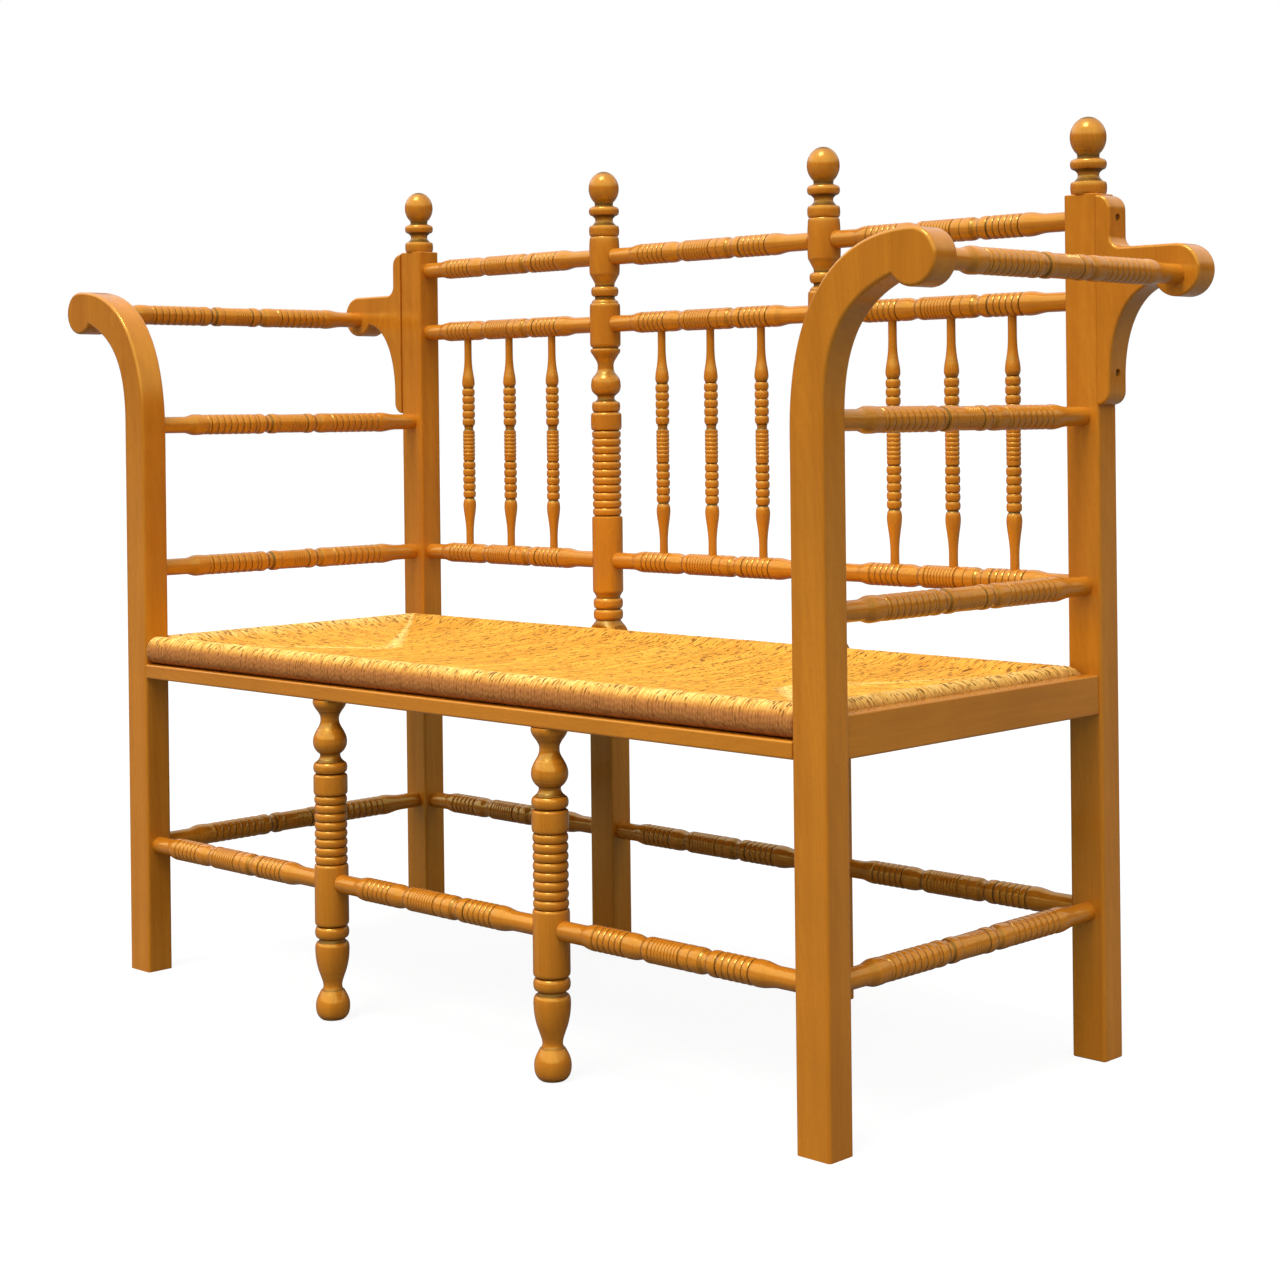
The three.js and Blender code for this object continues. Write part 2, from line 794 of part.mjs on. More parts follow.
function frontSeatRail() {
  const half = post_axis_x - post_face - clearance;
  const [bottom, top] = [seat_rail_bottom, seat_rail_bottom + front_rail_height];
  const tenon_end = half + rail_tenon_length;
  const hole_top = seat_rail_bottom + leg_tenon_length;
  const holes = [-mid_axis_x, mid_axis_x].map((x) =>
    bore(bottom - overrun, hole_top, leg_tenon_radius, turned_sides, "z", [x, 0, 0]),
  );
  const shape = join(
    block([-half, half], around(0, post_depth), [bottom, top]),
    block([-tenon_end, tenon_end], around(0, rail_tenon_width), front_tenon_rise),
  );
  return piece("seat_rail_front", cut(shape, ...holes), wood, [0, front_axis_y, 0]);
}

function rearSeatRail() {
  const half = side_rail_inner_x - clearance;
  const rear_face = rear_axis_y - post_front - clearance;
  const [bottom, top] = [seat_rail_bottom, seat_rail_bottom + front_rail_height];
  const tenon_end = half + rail_tenon_length;
  const rear_tenon_y = [rear_face - overrun, rear_face + rail_tenon_length];
  const end_tenon_y = around(rear_face - rear_rail_depth / 2, rail_tenon_width);
  const rear_tenons = [-mid_axis_x, mid_axis_x].map((x) =>
    block(around(x, rail_tenon_width), rear_tenon_y, front_tenon_rise),
  );
  const shape = join(
    block([-half, half], [rear_face - rear_rail_depth, rear_face], [bottom, top]),
    block([-tenon_end, tenon_end], end_tenon_y, front_tenon_rise),
    ...rear_tenons,
  );
  return piece("seat_rail_rear", shape, wood, at_origin);
}

function sideSeatRail(side) {
  const [bottom, top] = [seat_rail_bottom, seat_rail_bottom + side_rail_height];
  const half = frame_setback / 2 - post_front - clearance;
  const tenon_end = half + side_tenon_length;
  const shape = join(
    block([side_rail_inner_x, side_rail_outer_x], [-half, half], [bottom, top]),
    block(around(side_rail_axis_x, side_tenon_width), [-tenon_end, tenon_end], side_tenon_rise),
  );
  const rear_rail_mortise = mortise(
    [side_rail_inner_x - overrun, side_rail_inner_x + rail_tenon_length],
    around(half - rear_rail_depth / 2, rail_tenon_width),
    front_tenon_rise,
  );
  return piece(`seat_rail_${side}`, cut(shape, rear_rail_mortise), wood, at_origin);
}

// Slip frame: the front and rear rails run through, and the side rails are tenoned into them

const slip_bottom = seat_bottom + slip_rail_cover;
const slip_rise = [slip_bottom, slip_bottom + slip_rail_height];
const slip_tenon_rise = around(slip_bottom + slip_rail_height / 2, slip_tenon_height);
const slip_front_half = post_axis_x - post_face - 2 * clearance;
const seat_half_width = side_rail_inner_x - clearance;
const slip_side = [
  seat_half_width - slip_rail_cover - slip_rail_width,
  seat_half_width - slip_rail_cover,
];
const slip_front = [seat_front_y + slip_rail_cover, seat_front_y + slip_rail_cover + slip_rail_width];
const slip_rear = [seat_rear_y - slip_rail_cover - slip_rail_width, seat_rear_y - slip_rail_cover];
const post_clear_y = front_axis_y + post_front + 2 * clearance; // just behind the front posts

const slip_front_tenon_x = around((slip_side[0] + slip_front_half) / 2, slip_tenon_width);
const slip_rear_tenon_x = around((slip_side[0] + slip_side[1]) / 2, slip_tenon_width);
const slip_front_tenon_y = [slip_front[1] - slip_tenon_length, slip_front[1] + overrun];
const slip_rear_tenon_y = [slip_rear[0] - overrun, slip_rear[0] + slip_tenon_length];

const mirrored = ([from, to]) => [-to, -from];

function slipFrontRail() {
  const shape = cut(
    block([-slip_front_half, slip_front_half], slip_front, slip_rise),
    mortise(slip_front_tenon_x, slip_front_tenon_y, slip_tenon_rise),
    mortise(mirrored(slip_front_tenon_x), slip_front_tenon_y, slip_tenon_rise),
  );
  return piece("seat_frame_front", shape, wood, at_origin);
}

function slipRearRail() {
  const shape = cut(
    block([-slip_side[1], slip_side[1]], slip_rear, slip_rise),
    mortise(slip_rear_tenon_x, slip_rear_tenon_y, slip_tenon_rise),
    mortise(mirrored(slip_rear_tenon_x), slip_rear_tenon_y, slip_tenon_rise),
  );
  return piece("seat_frame_rear", shape, wood, at_origin);
}

// The outer corner of a side rail is notched round the front post
function slipSideRail(side) {
  const front_shoulder = slip_front[1] + clearance;
  const rear_shoulder = slip_rear[0] - clearance;
  const shape = join(
    block(slip_side, [post_clear_y, rear_shoulder], slip_rise),
    block([slip_side[0], slip_front_half], [front_shoulder, post_clear_y + overrun], slip_rise),
    block(slip_front_tenon_x, [slip_front_tenon_y[0], front_shoulder + overrun], slip_tenon_rise),
    block(slip_rear_tenon_x, [rear_shoulder - overrun, slip_rear_tenon_y[1]], slip_tenon_rise),
  );
  return piece(`seat_frame_${side}`, shape, wood, at_origin);
}

// Rush. Two slabs, one with the section from front to back and one with that from side to side,
// share the dish: together they meet on the mitre lines that run in from the corners.

function rushSection(half_span, dish, hollow_under) {
  const bottom = seat_bottom;
  const radius = roll_height / 2;
  const middle = bottom + radius;
  const right = [
    ...hollow_under.map(({ inset, rise }) => new THREE.Vector2(half_span - inset, bottom + rise)).reverse(),
    ...arc([half_span - radius, middle], radius, -quarter_turn, quarter_turn, 8),
    ...dish.map(({ inset, fall }) => new THREE.Vector2(half_span - inset, seat_top - fall)),
  ];
  const beside_middle = right.filter(({ x }) => x > 0);
  const left = beside_middle.map(({ x, y }) => new THREE.Vector2(-x, y)).reverse();
  return new THREE.Shape([...right, ...left]);
}

function rushSlab(outline, length) {
  const options = { depth: length, bevelEnabled: false };
  return new THREE.ExtrudeGeometry(outline, options).rotateX(Math.PI / 2).translate(0, length / 2, 0);
}

function rushSeat() {
  const seat_middle_y = (seat_front_y + seat_rear_y) / 2;
  const half_depth = (seat_rear_y - seat_front_y) / 2;
  const dish = [
    { inset: roll_back_inset, fall: roll_back_fall },
    { inset: valley_inset, fall: valley_fall },
    { inset: slope_inset, fall: slope_fall },
    { inset: half_depth, fall: dish_fall },
  ];
  const hollow = [
    { inset: underside_inset, rise: 0 },
    { inset: underside_inset + underside_slope, rise: underside_rise },
  ];
  const across = (outline) => solid(rushSlab(outline, 2 * half_depth).translate(0, seat_middle_y, 0));
  const along = (outline) =>
    solid(rushSlab(outline, 2 * seat_half_width).rotateZ(Math.PI / 2).translate(0, seat_middle_y, 0));
  const dished = join(
    across(rushSection(seat_half_width, dish, hollow)),
    along(rushSection(half_depth, dish, hollow)),
  );
  const rolled = trim(
    dished,
    across(rushSection(seat_half_width, [], [])),
    along(rushSection(half_depth, [], [])),
  );
  return piece("rush_seat", cut(rolled, ...postNotches(), ...slipChannels()), rush, at_origin);
}

// The seat is notched at its front corners, where it passes between the posts
function postNotches() {
  const notch_y = [seat_front_y - overrun, front_axis_y + post_front + clearance];
  const notch_z = [seat_bottom - overrun, seat_top + overrun];
  const notch_x = [post_axis_x - post_face - clearance, seat_half_width + overrun];
  return [block(notch_x, notch_y, notch_z), block(mirrored(notch_x), notch_y, notch_z)];
}

// The slip frame's own space inside the rush, open in the notches
function slipChannels() {
  const front_half = slip_front_half + clearance + overrun;
  const side_front = post_clear_y - clearance - overrun;
  const tongue_x = [slip_side[0], slip_front_half];
  const channels = [slip_side, mirrored(slip_side)].map((span) =>
    mortise(span, [side_front, slip_rear[1]], slip_rise),
  );
  const tongues = [tongue_x, mirrored(tongue_x)].map((span) =>
    mortise(span, [slip_front[0], post_clear_y], slip_rise),
  );
  return [
    mortise([-front_half, front_half], slip_front, slip_rise),
    mortise([-slip_side[1], slip_side[1]], slip_rear, slip_rise),
    ...channels,
    ...tongues,
  ];
}

// Assembly

const bench = new THREE.Group();

["left", "right"].forEach((side) => {
  const half = new THREE.Group();
  half.scale.x = side === "left" ? -1 : 1;
  half.add(
    frontPost(side),
    rearPost(side),
    midPost(side),
    midLeg(side),
    finial(side),
    armBracket(side),
    bracketScrew(`bracket_screw_upper_${side}`, bracket_lobe, upper_screw_height),
    bracketScrew(`bracket_screw_lower_${side}`, bracket_leg, lower_screw_height),
    sideRod(`arm_rod_top_${side}`, top_rod_x, arm_rod_heights.top, toe_degrees),
    sideRod(`arm_rod_middle_${side}`, post_axis_x, arm_rod_heights.middle),
    sideRod(`arm_rod_lower_${side}`, post_axis_x, arm_rod_heights.lower),
    sideRod(`stretcher_side_${side}`, post_axis_x, stretcher_height),
    sideSeatRail(side),
    slipSideRail(side),
  );
  bench.add(half);
});

["left", "centre", "right"].forEach((bayName) => {
  Object.keys(back_rail_heights).forEach((level) => bench.add(backRail(level, bayName)));
  bench.add(bayStretcher("front", bayName), bayStretcher("rear", bayName));
  spindlePlaces().forEach((x, i) => bench.add(spindle(bayName, x, i + 1)));
});

bench.add(frontSeatRail(), rearSeatRail(), slipFrontRail(), slipRearRail(), rushSeat());

export default bench;
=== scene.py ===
# A varnished settle: sawn scroll arms, a turned spindle back in three bays and a woven rush seat.
# Metres, +Z up, front towards -Y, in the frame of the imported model. Turning profiles are in millimetres.

import math
import random

import bmesh
import bpy
from mathutils import Matrix, Vector


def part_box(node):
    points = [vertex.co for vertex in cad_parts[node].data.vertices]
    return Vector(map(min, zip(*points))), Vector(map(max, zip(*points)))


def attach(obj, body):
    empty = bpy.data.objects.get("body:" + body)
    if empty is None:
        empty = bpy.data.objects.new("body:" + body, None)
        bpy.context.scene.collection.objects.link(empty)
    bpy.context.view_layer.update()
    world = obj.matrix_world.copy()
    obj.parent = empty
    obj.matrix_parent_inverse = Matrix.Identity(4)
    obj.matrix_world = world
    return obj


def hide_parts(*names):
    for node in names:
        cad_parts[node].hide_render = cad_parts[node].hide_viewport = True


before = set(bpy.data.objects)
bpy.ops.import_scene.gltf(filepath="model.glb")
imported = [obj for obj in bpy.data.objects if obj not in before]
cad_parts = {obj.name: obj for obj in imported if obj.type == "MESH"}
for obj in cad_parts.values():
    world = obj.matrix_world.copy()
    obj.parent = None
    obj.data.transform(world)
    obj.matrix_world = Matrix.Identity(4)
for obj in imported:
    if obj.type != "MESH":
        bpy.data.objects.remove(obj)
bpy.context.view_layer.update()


# Front posts and scroll arms
# Each post and its scroll arm are sawn from one upright board, glued up from strips of pale hardwood.
# The arrises are rounded over, and the whole is stained honey brown under a clear varnish.

mm = 0.001
sides = {"left": -1, "right": 1}  # and which way along X each one faces

post_width = 45 * mm
post_depth = 38 * mm
post_round_over = 3.6 * mm
scroll_reach = 135.5 * mm  # post axis to scroll axis
scroll_height = 906 * mm
scroll_radius = 29.6 * mm
scroll_end_turn = math.radians(-146.6)
sweep_start = 735 * mm  # where the inner edge leaves the upright
sweep_pull = 36.5 * mm  # how far in it stays level with the top of the scroll
sweep_push = 865 * mm  # from what height down it hugs the upright
throat_start = 752 * mm  # where the outer edge leaves the upright
throat_pull = 830 * mm  # up to what height it hugs the upright
throat_push = (52.5 * mm, 866 * mm)  # how it comes into the notch under the scroll
notch_run = 33.5 * mm
notch_drop = 20 * mm
arris_steps = 4
flat_margin = 1 * mm  # a narrow band beside each round-over, so that the flats shade flat
same_line = 0.01 * mm  # a point nearer than this to the floor or to a joint lies on it
sharpest_corner = 0.4  # keeps the corners of a moved outline from running away
crisp_edge = math.radians(38)  # edges sharper than this aren't shaded smooth


def arc(centre, radius, start, end, steps):
    """Points along a round, for outlines in the XZ plane"""
    turns = [start + (end - start) * i / steps for i in range(steps + 1)]
    return [Vector((centre[0] + radius * math.cos(t), centre[1] + radius * math.sin(t))) for t in turns]


def freehand(start, pull, push, end, steps):
    """Points along a freehand curve that leaves `start` towards `pull` and reaches `end` from `push`"""
    points = []
    for i in range(steps + 1):
        t = i / steps
        weights = ((1 - t) ** 3, 3 * t * (1 - t) ** 2, 3 * t * t * (1 - t), t**3)
        points.append(sum((Vector(p) * w for p, w in zip((start, pull, push, end), weights)), Vector((0, 0))))
    return points


def inset_outline(outline, inset):
    """The anticlockwise outline moved inwards by `inset`"""
    moved = []
    for before, here, after in zip(outline[-1:] + outline[:-1], outline, outline[1:] + outline[:1]):
        arriving = (here - before).normalized()
        leaving = (after - here).normalized()
        inward = Vector((-arriving.y, arriving.x)) + Vector((-leaving.y, leaving.x))
        moved.append(here + inward * inset / max(1 + arriving.dot(leaving), sharpest_corner))
    return moved


def skin(rings, shape):
    """Closes a row of rings of vertices into a skin with a lid at each end"""
    for ring, following in zip(rings, rings[1:]):
        for i, vertex in enumerate(ring):
            shape.faces.new((ring[i - 1], vertex, following[i], following[i - 1]))
    lids = [shape.faces.new(rings[0]), shape.faces.new(rings[-1])]
    bmesh.ops.recalc_face_normals(shape, faces=shape.faces)
    return lids


def sawn_board(outline, depth, round_over, joint=math.inf):
    """A board sawn to an outline in the XZ plane, with its middle at y = 0.
    An edge at x = `joint`, and one on the floor, isn't rounded."""
    quarter = [math.pi / 2 * i / arris_steps for i in range(arris_steps + 1)]
    rims = [(round_over + flat_margin, depth / 2)]
    rims += [(round_over * (1 - math.sin(t)), depth / 2 - round_over * (1 - math.cos(t))) for t in quarter]
    rims += [(0, depth / 2 - round_over - flat_margin)]
    rims = [(inset, -y) for inset, y in rims] + [(inset, y) for inset, y in reversed(rims)]
    shape = bmesh.new()
    rings = []
    for inset, y in rims:
        ring = []
        for point, moved in zip(outline, inset_outline(outline, inset)):
            x = joint if abs(point.x - joint) < same_line else moved.x
            z = 0 if point.y < same_line else moved.y
            ring.append(shape.verts.new((x, y, z)))
        rings.append(ring)
    bmesh.ops.triangulate(shape, faces=skin(rings, shape))
    return shape


def feed(tree, node, inputs):
    """Sets the inputs of a node, each to a value or to the socket that feeds it"""
    for socket, source in inputs.items():
        if isinstance(source, bpy.types.NodeSocket):
            tree.links.new(source, node.inputs[socket])
        else:
            node.inputs[socket].default_value = source


def add_node(tree, kind, inputs=None, **settings):
    """A shader node with its settings and inputs"""
    node = tree.nodes.new(kind)
    for name, setting in settings.items():
        setattr(node, name, setting)
    feed(tree, node, inputs or {})
    return node


def maths(tree, operation, *values):
    """A sum or the like, of values and sockets"""
    return add_node(tree, "ShaderNodeMath", dict(enumerate(values)), operation=operation).outputs[0]


def ramped(tree, value, start, end, low=0.0, high=1.0, **settings):
    """Runs from `low` to `high` while the value goes from `start` to `end`"""
    inputs = {"Value": value, "From Min": start, "From Max": end, "To Min": low, "To Max": high}
    return add_node(tree, "ShaderNodeMapRange", inputs, **settings).outputs[0]


def mixed(tree, share, first, second, blend="MIX"):
    """The first colour with a share of the second over it"""
    inputs = {"Factor": share, 6: first, 7: second}
    return add_node(tree, "ShaderNodeMix", inputs, data_type="RGBA", blend_type=blend).outputs[2]


def attribute(tree, name, owner="GEOMETRY"):
    """What a mesh or an object says about itself under a name"""
    return add_node(tree, "ShaderNodeAttribute", attribute_name=name, attribute_type=owner).outputs["Fac"]


def new_group(name, inputs, outputs):
    """A shader node group with named sockets"""
    group = bpy.data.node_groups.new(name, "ShaderNodeTree")
    for socket, kind in inputs.items():
        group.interface.new_socket(socket, in_out="INPUT", socket_type=kind)
    for socket, kind in outputs.items():
        group.interface.new_socket(socket, in_out="OUTPUT", socket_type=kind)
    return group, group.nodes.new("NodeGroupInput"), group.nodes.new("NodeGroupOutput")


def new_material(name):
    """A material, its nodes, and its shader"""
    material = bpy.data.materials.new(name)
    material.use_nodes = True
    return material, material.node_tree, material.node_tree.nodes["Principled BSDF"]


honey = (0.56, 0.192, 0.013, 1)
deep_honey = (0.41, 0.122, 0.007, 1)
# stain and painted shade in the hollows of the turnings
groove_stain_and_shade = (0.055, 0.013, 0.002, 1)
amber_sheen = (1.0, 0.78, 0.16, 1)  # the varnish is amber, and its highlights with it
pith_wander = 50 * mm
ring_phase = 1500  # radians to the metre: a growth ring every 4 mm
ring_share = 0.035  # of the growth rings in the figure, beside the soft streaks
fibre_share = 0.2
figure_range = (0.25, 0.85)  # of that sum, from deep honey to honey
pore_range = (0.62, 0.7)  # of its noise: where a pore starts, and where it is full
pore_depth = 0.6  # against the height of a fibre
grain_height = 0.2 * mm
blotch_tones = (0.84, 1.14)  # darkest and lightest, against the grain's own
patchy_stain_and_shade = 0.5  # how patchily the stain and painted shade gather
stain_and_shade_range = (0.25, 0.95)  # how hollow it is where the stain and painted shade start, and where they are full
stain_and_shade_share = 0.92
varnish_roughness = (0.11, 0.24)  # glossiest and dullest
hollow_dulling = 0.5  # added in the hollows, where the stain and painted shade are full
varnish_ior = 1.6
varnish_coat = 0.12
coat_roughness = 0.07

board_numbers = random.Random(11)
board_spread = 40  # how far apart two boards may lie in the pattern of the grain


def make_wood_figure():
    """Grain that runs along Z of a piece's own space: soft streaks, growth rings and short dark pores"""
    group, given, result = new_group(
        "wood figure",
        {"Place": "NodeSocketVector", "Board": "NodeSocketFloat"},
        {"Figure": "NodeSocketFloat", "Pores": "NodeSocketFloat", "Height": "NodeSocketFloat"},
    )
    place, board = given.outputs["Place"], given.outputs["Board"]

    def stretched(along):
        scaling = {0: place, 1: (1, 1, along)}
        return add_node(group, "ShaderNodeVectorMath", scaling, operation="MULTIPLY").outputs[0]

    def noise(along, scale, detail, distortion=0.0):
        inputs = {"Vector": stretched(along), "W": board, "Scale": scale}
        inputs |= {"Detail": detail, "Distortion": distortion}
        return add_node(group, "ShaderNodeTexNoise", inputs, noise_dimensions="4D").outputs

    streaks = noise(along=0.05, scale=60, detail=3, distortion=0.4)["Fac"]
    wander = noise(along=0.12, scale=14, detail=2)["Color"]
    strayed = {0: wander, 1: (pith_wander, pith_wander, 0), 2: stretched(along=0.1)}
    wandered = add_node(group, "ShaderNodeVectorMath", strayed, operation="MULTIPLY_ADD").outputs[0]
    from_pith = add_node(group, "ShaderNodeVectorMath", {0: wandered}, operation="LENGTH").outputs["Value"]
    growth_rings = maths(group, "SINE", maths(group, "MULTIPLY", from_pith, ring_phase))
    fibres = noise(along=0.02, scale=1400, detail=2)["Fac"]
    pores = ramped(group, noise(along=0.05, scale=2200, detail=1)["Fac"], *pore_range)
    ringed = maths(group, "MULTIPLY_ADD", growth_rings, ring_share, streaks)
    fibrous = maths(group, "MULTIPLY_ADD", fibres, fibre_share, ringed)
    height = maths(group, "MULTIPLY_ADD", pores, -pore_depth, fibres)
    feed(group, result, {"Figure": ramped(group, fibrous, *figure_range), "Pores": pores, "Height": height})
    return group


def make_varnished_wood():
    """Honey-stained hardwood under varnish, darker in the hollows of the turnings with stain and painted
    shade
    """
    material, tree, shader = new_material("varnished_wood")
    place = add_node(tree, "ShaderNodeTexCoord").outputs["Object"]
    board, hollow = attribute(tree, "board", "OBJECT"), attribute(tree, "hollow")
    grain = add_node(tree, "ShaderNodeGroup", {"Place": place, "Board": board}, node_tree=wood_figure).outputs
    soft = {"Vector": place, "W": board, "Scale": 9.0, "Detail": 3.0}
    blotches = add_node(tree, "ShaderNodeTexNoise", soft, noise_dimensions="4D").outputs["Fac"]

    figured = mixed(tree, grain["Figure"], deep_honey, honey)
    blotched = mixed(tree, 1.0, figured, ramped(tree, blotches, 0.0, 1.0, *blotch_tones), "MULTIPLY")
    pored = mixed(tree, grain["Pores"], blotched, deep_honey)
    unevenness = maths(tree, "MULTIPLY_ADD", blotches, patchy_stain_and_shade, -patchy_stain_and_shade / 2)
    # Darker in the hollows of the turnings: stain, with painted shade
    stained_and_shaded = ramped(tree, maths(tree, "ADD", hollow, unevenness), *stain_and_shade_range, 0.0, stain_and_shade_share)
    varnish_sheen = ramped(tree, blotches, 0.0, 1.0, *varnish_roughness)
    bump = {"Strength": 0.35, "Distance": grain_height, "Height": grain["Height"]}
    finish = {
        "Base Color": mixed(tree, stained_and_shaded, pored, groove_stain_and_shade),
        "Roughness": maths(tree, "MULTIPLY_ADD", stained_and_shaded, hollow_dulling, varnish_sheen),
        "Normal": add_node(tree, "ShaderNodeBump", bump).outputs[0],
        "IOR": varnish_ior,
        "Specular IOR Level": 1.0,
        "Specular Tint": amber_sheen,
        "Coat Weight": varnish_coat,
        "Coat Roughness": coat_roughness,
    }
    feed(tree, shader, finish)
    return material


wood_figure = make_wood_figure()
varnished_wood = make_varnished_wood()


def wooden(name, shape, place=(0, 0, 0), turn=(0, 0, 0)):
    """A varnished piece with its grain along its own Z"""
    mesh = bpy.data.meshes.new(name)
    shape.to_mesh(mesh)
    shape.free()
    mesh.shade_smooth()
    mesh.set_sharp_from_angle(angle=crisp_edge)
    mesh.materials.append(varnished_wood)
    piece = bpy.data.objects.new(name, mesh)
    bpy.context.scene.collection.objects.link(piece)
    piece.location = place
    piece.rotation_euler = turn
    piece["board"] = board_numbers.uniform(0, board_spread)
    return piece


def mirrored(outline, mirror):
    """The outline as it is, or turned over left to right"""
    if mirror > 0:
        return outline
    return [Vector((-p.x, p.y)) for p in reversed(outline)]


def scroll_post_outline():
    """The right-hand post from the front, counted from its axis"""
    face = post_width / 2
    top = scroll_height + scroll_radius
    lip = (scroll_reach - notch_run, scroll_height - notch_drop)
    foot = [Vector((-face, 0)), Vector((face, 0))]
    throat = freehand((face, throat_start), (face, throat_pull), throat_push, lip, steps=30)
    scroll = arc((scroll_reach, scroll_height), scroll_radius, scroll_end_turn, math.pi / 2, steps=44)
    sweep = freehand(
        (scroll_reach, top), (sweep_pull, top), (-face, sweep_push), (-face, sweep_start), steps=40
    )
    return [*foot, *throat, *scroll, *sweep[1:]]


for side, mirror in sides.items():
    low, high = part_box(f"front_post_{side}")
    inner_face = low.x if mirror > 0 else high.x
    axis_x = inner_face + mirror * post_width / 2
    board = sawn_board(mirrored(scroll_post_outline(), mirror), post_depth, post_round_over)
    post = wooden(f"finished_front_post_{side}", board, (axis_x, (low.y + high.y) / 2, 0))
    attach(post, "root")
    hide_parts(f"front_post_{side}")


# Rear posts
# Plain square uprights of the same hardwood and section, 1005 mm high. Their arrises are rounded over like
# those of the front posts, and their tops are cut flat to carry a finial each.

end_ease = 1 * mm  # how much the ends of a sawn timber are eased


def squared(width, depth, radius):
    """The section of a square timber with rounded arrises, anticlockwise, and points just inside its flats"""
    points = []
    for x, y, first_turn in ((1, 1, 0), (-1, 1, 1), (-1, -1, 2), (1, -1, 3)):
        centre = (x * (width / 2 - radius), y * (depth / 2 - radius))
        corner = arc(centre, radius, first_turn * math.pi / 2, (first_turn + 1) * math.pi / 2, arris_steps)
        leaving = Vector((math.sin(first_turn * math.pi / 2), -math.cos(first_turn * math.pi / 2)))
        arriving = Vector((-math.cos(first_turn * math.pi / 2), -math.sin(first_turn * math.pi / 2)))
        points += [corner[0] + leaving * flat_margin, *corner, corner[-1] + arriving * flat_margin]
    return points


def timber(width, depth, start, end, radius):
    """A square timber along its own Z, with its ends eased"""
    section = squared(width, depth, radius)
    rims = [(start, 2 * end_ease), (start, end_ease), (start + end_ease, 0)]
    rims += [(end - end_ease, 0), (end, end_ease), (end, 2 * end_ease)]
    shape = bmesh.new()
    rings = [[shape.verts.new((p.x, p.y, z)) for p in inset_outline(section, inset)] for z, inset in rims]
    skin(rings, shape)
    return shape


def axis_of(node):
    """Where the upright axis of a CAD node stands"""
    low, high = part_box(node)
    return (low.x + high.x) / 2, (low.y + high.y) / 2


for side in sides:
    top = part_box(f"rear_post_{side}")[1].z
    upright = timber(post_width, post_depth, 0, top, post_round_over)
    post = wooden(f"finished_rear_post_{side}", upright, (*axis_of(f"rear_post_{side}"), 0))
    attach(post, "root")
    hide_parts(f"rear_post_{side}")


# Finials on the rear posts
# A ball over a disc and a cove, turned apart from the post and dowelled into its top.
# Same hardwood. The cove and the neck under the ball are darker, with stain and painted shade.

lathe_sides = 48
one_station = 0.02  # points of a profile nearer than this to each other are one
shoulder = 9  # over this length below its top, a square part turns round

# How dark each hollow is painted, with stain and painted shade: it is judged against the fullest radius
# within the first number of millimetres along the axis, and where it lies deeper than the second it is
# darkest.
coves = (3.0, 3.6)
fine_grooves = (2.6, 1.4)

finial_ball_radius = 21.2


def bead(start, end, foot, crest, steps=8, fullness=0.55):
    """A bead between two stations: half round at a fullness of 1, squarer with narrower grooves below it"""
    middle, half = (start + end) / 2, (end - start) / 2
    turns = [math.pi * i / steps for i in range(1, steps)]
    crown = [(middle - half * math.cos(t), foot + (crest - foot) * math.sin(t) ** fullness) for t in turns]
    return [(start, foot), *crown, (end, foot)]


def beads(start, end, count, foot, crest, steps=6, fullness=0.55):
    """Beads side by side, of one size"""
    pitch = (end - start) / count
    starts = [start + i * pitch for i in range(count)]
    return [point for first in starts for point in bead(first, first + pitch, foot, crest, steps, fullness)]


def curve(*points, steps=3):
    """A smooth line through points, for swells, coves and necks"""
    line = [points[0], *points, points[-1]]
    smooth = [points[0]]
    for before, start, end, after in zip(line, line[1:], line[2:], line[3:]):
        for i in range(1, steps + 1):
            t = i / steps
            weights = (
                -t / 2 + t**2 - t**3 / 2,
                1 - 2.5 * t**2 + 1.5 * t**3,
                t / 2 + 2 * t**2 - 1.5 * t**3,
                -(t**2) / 2 + t**3 / 2,
            )
            span = (before, start, end, after)
            smooth.append(tuple(sum(w * p[axis] for w, p in zip(weights, span)) for axis in (0, 1)))
    return smooth


def ball(start, end, foot, crest, steps=16):
    """A ball, cut off where its radius falls to `foot` at both ends"""
    cut = math.asin(foot / crest)
    middle = (start + end) / 2
    half = (end - start) / 2 / math.cos(cut)
    turns = [cut + (math.pi - 2 * cut) * i / steps for i in range(steps + 1)]
    return [(middle - half * math.cos(t), crest * math.sin(t)) for t in turns]


def hollows(profile, reach, full_depth):
    """How deep each station of a profile lies below its surroundings, from 0 to 1"""
    depths = []
    for station, radius in profile:
        fullest = max(r for s, r in profile if abs(s - station) < reach)
        depths.append(min((fullest - radius) / full_depth, 1))
    return depths


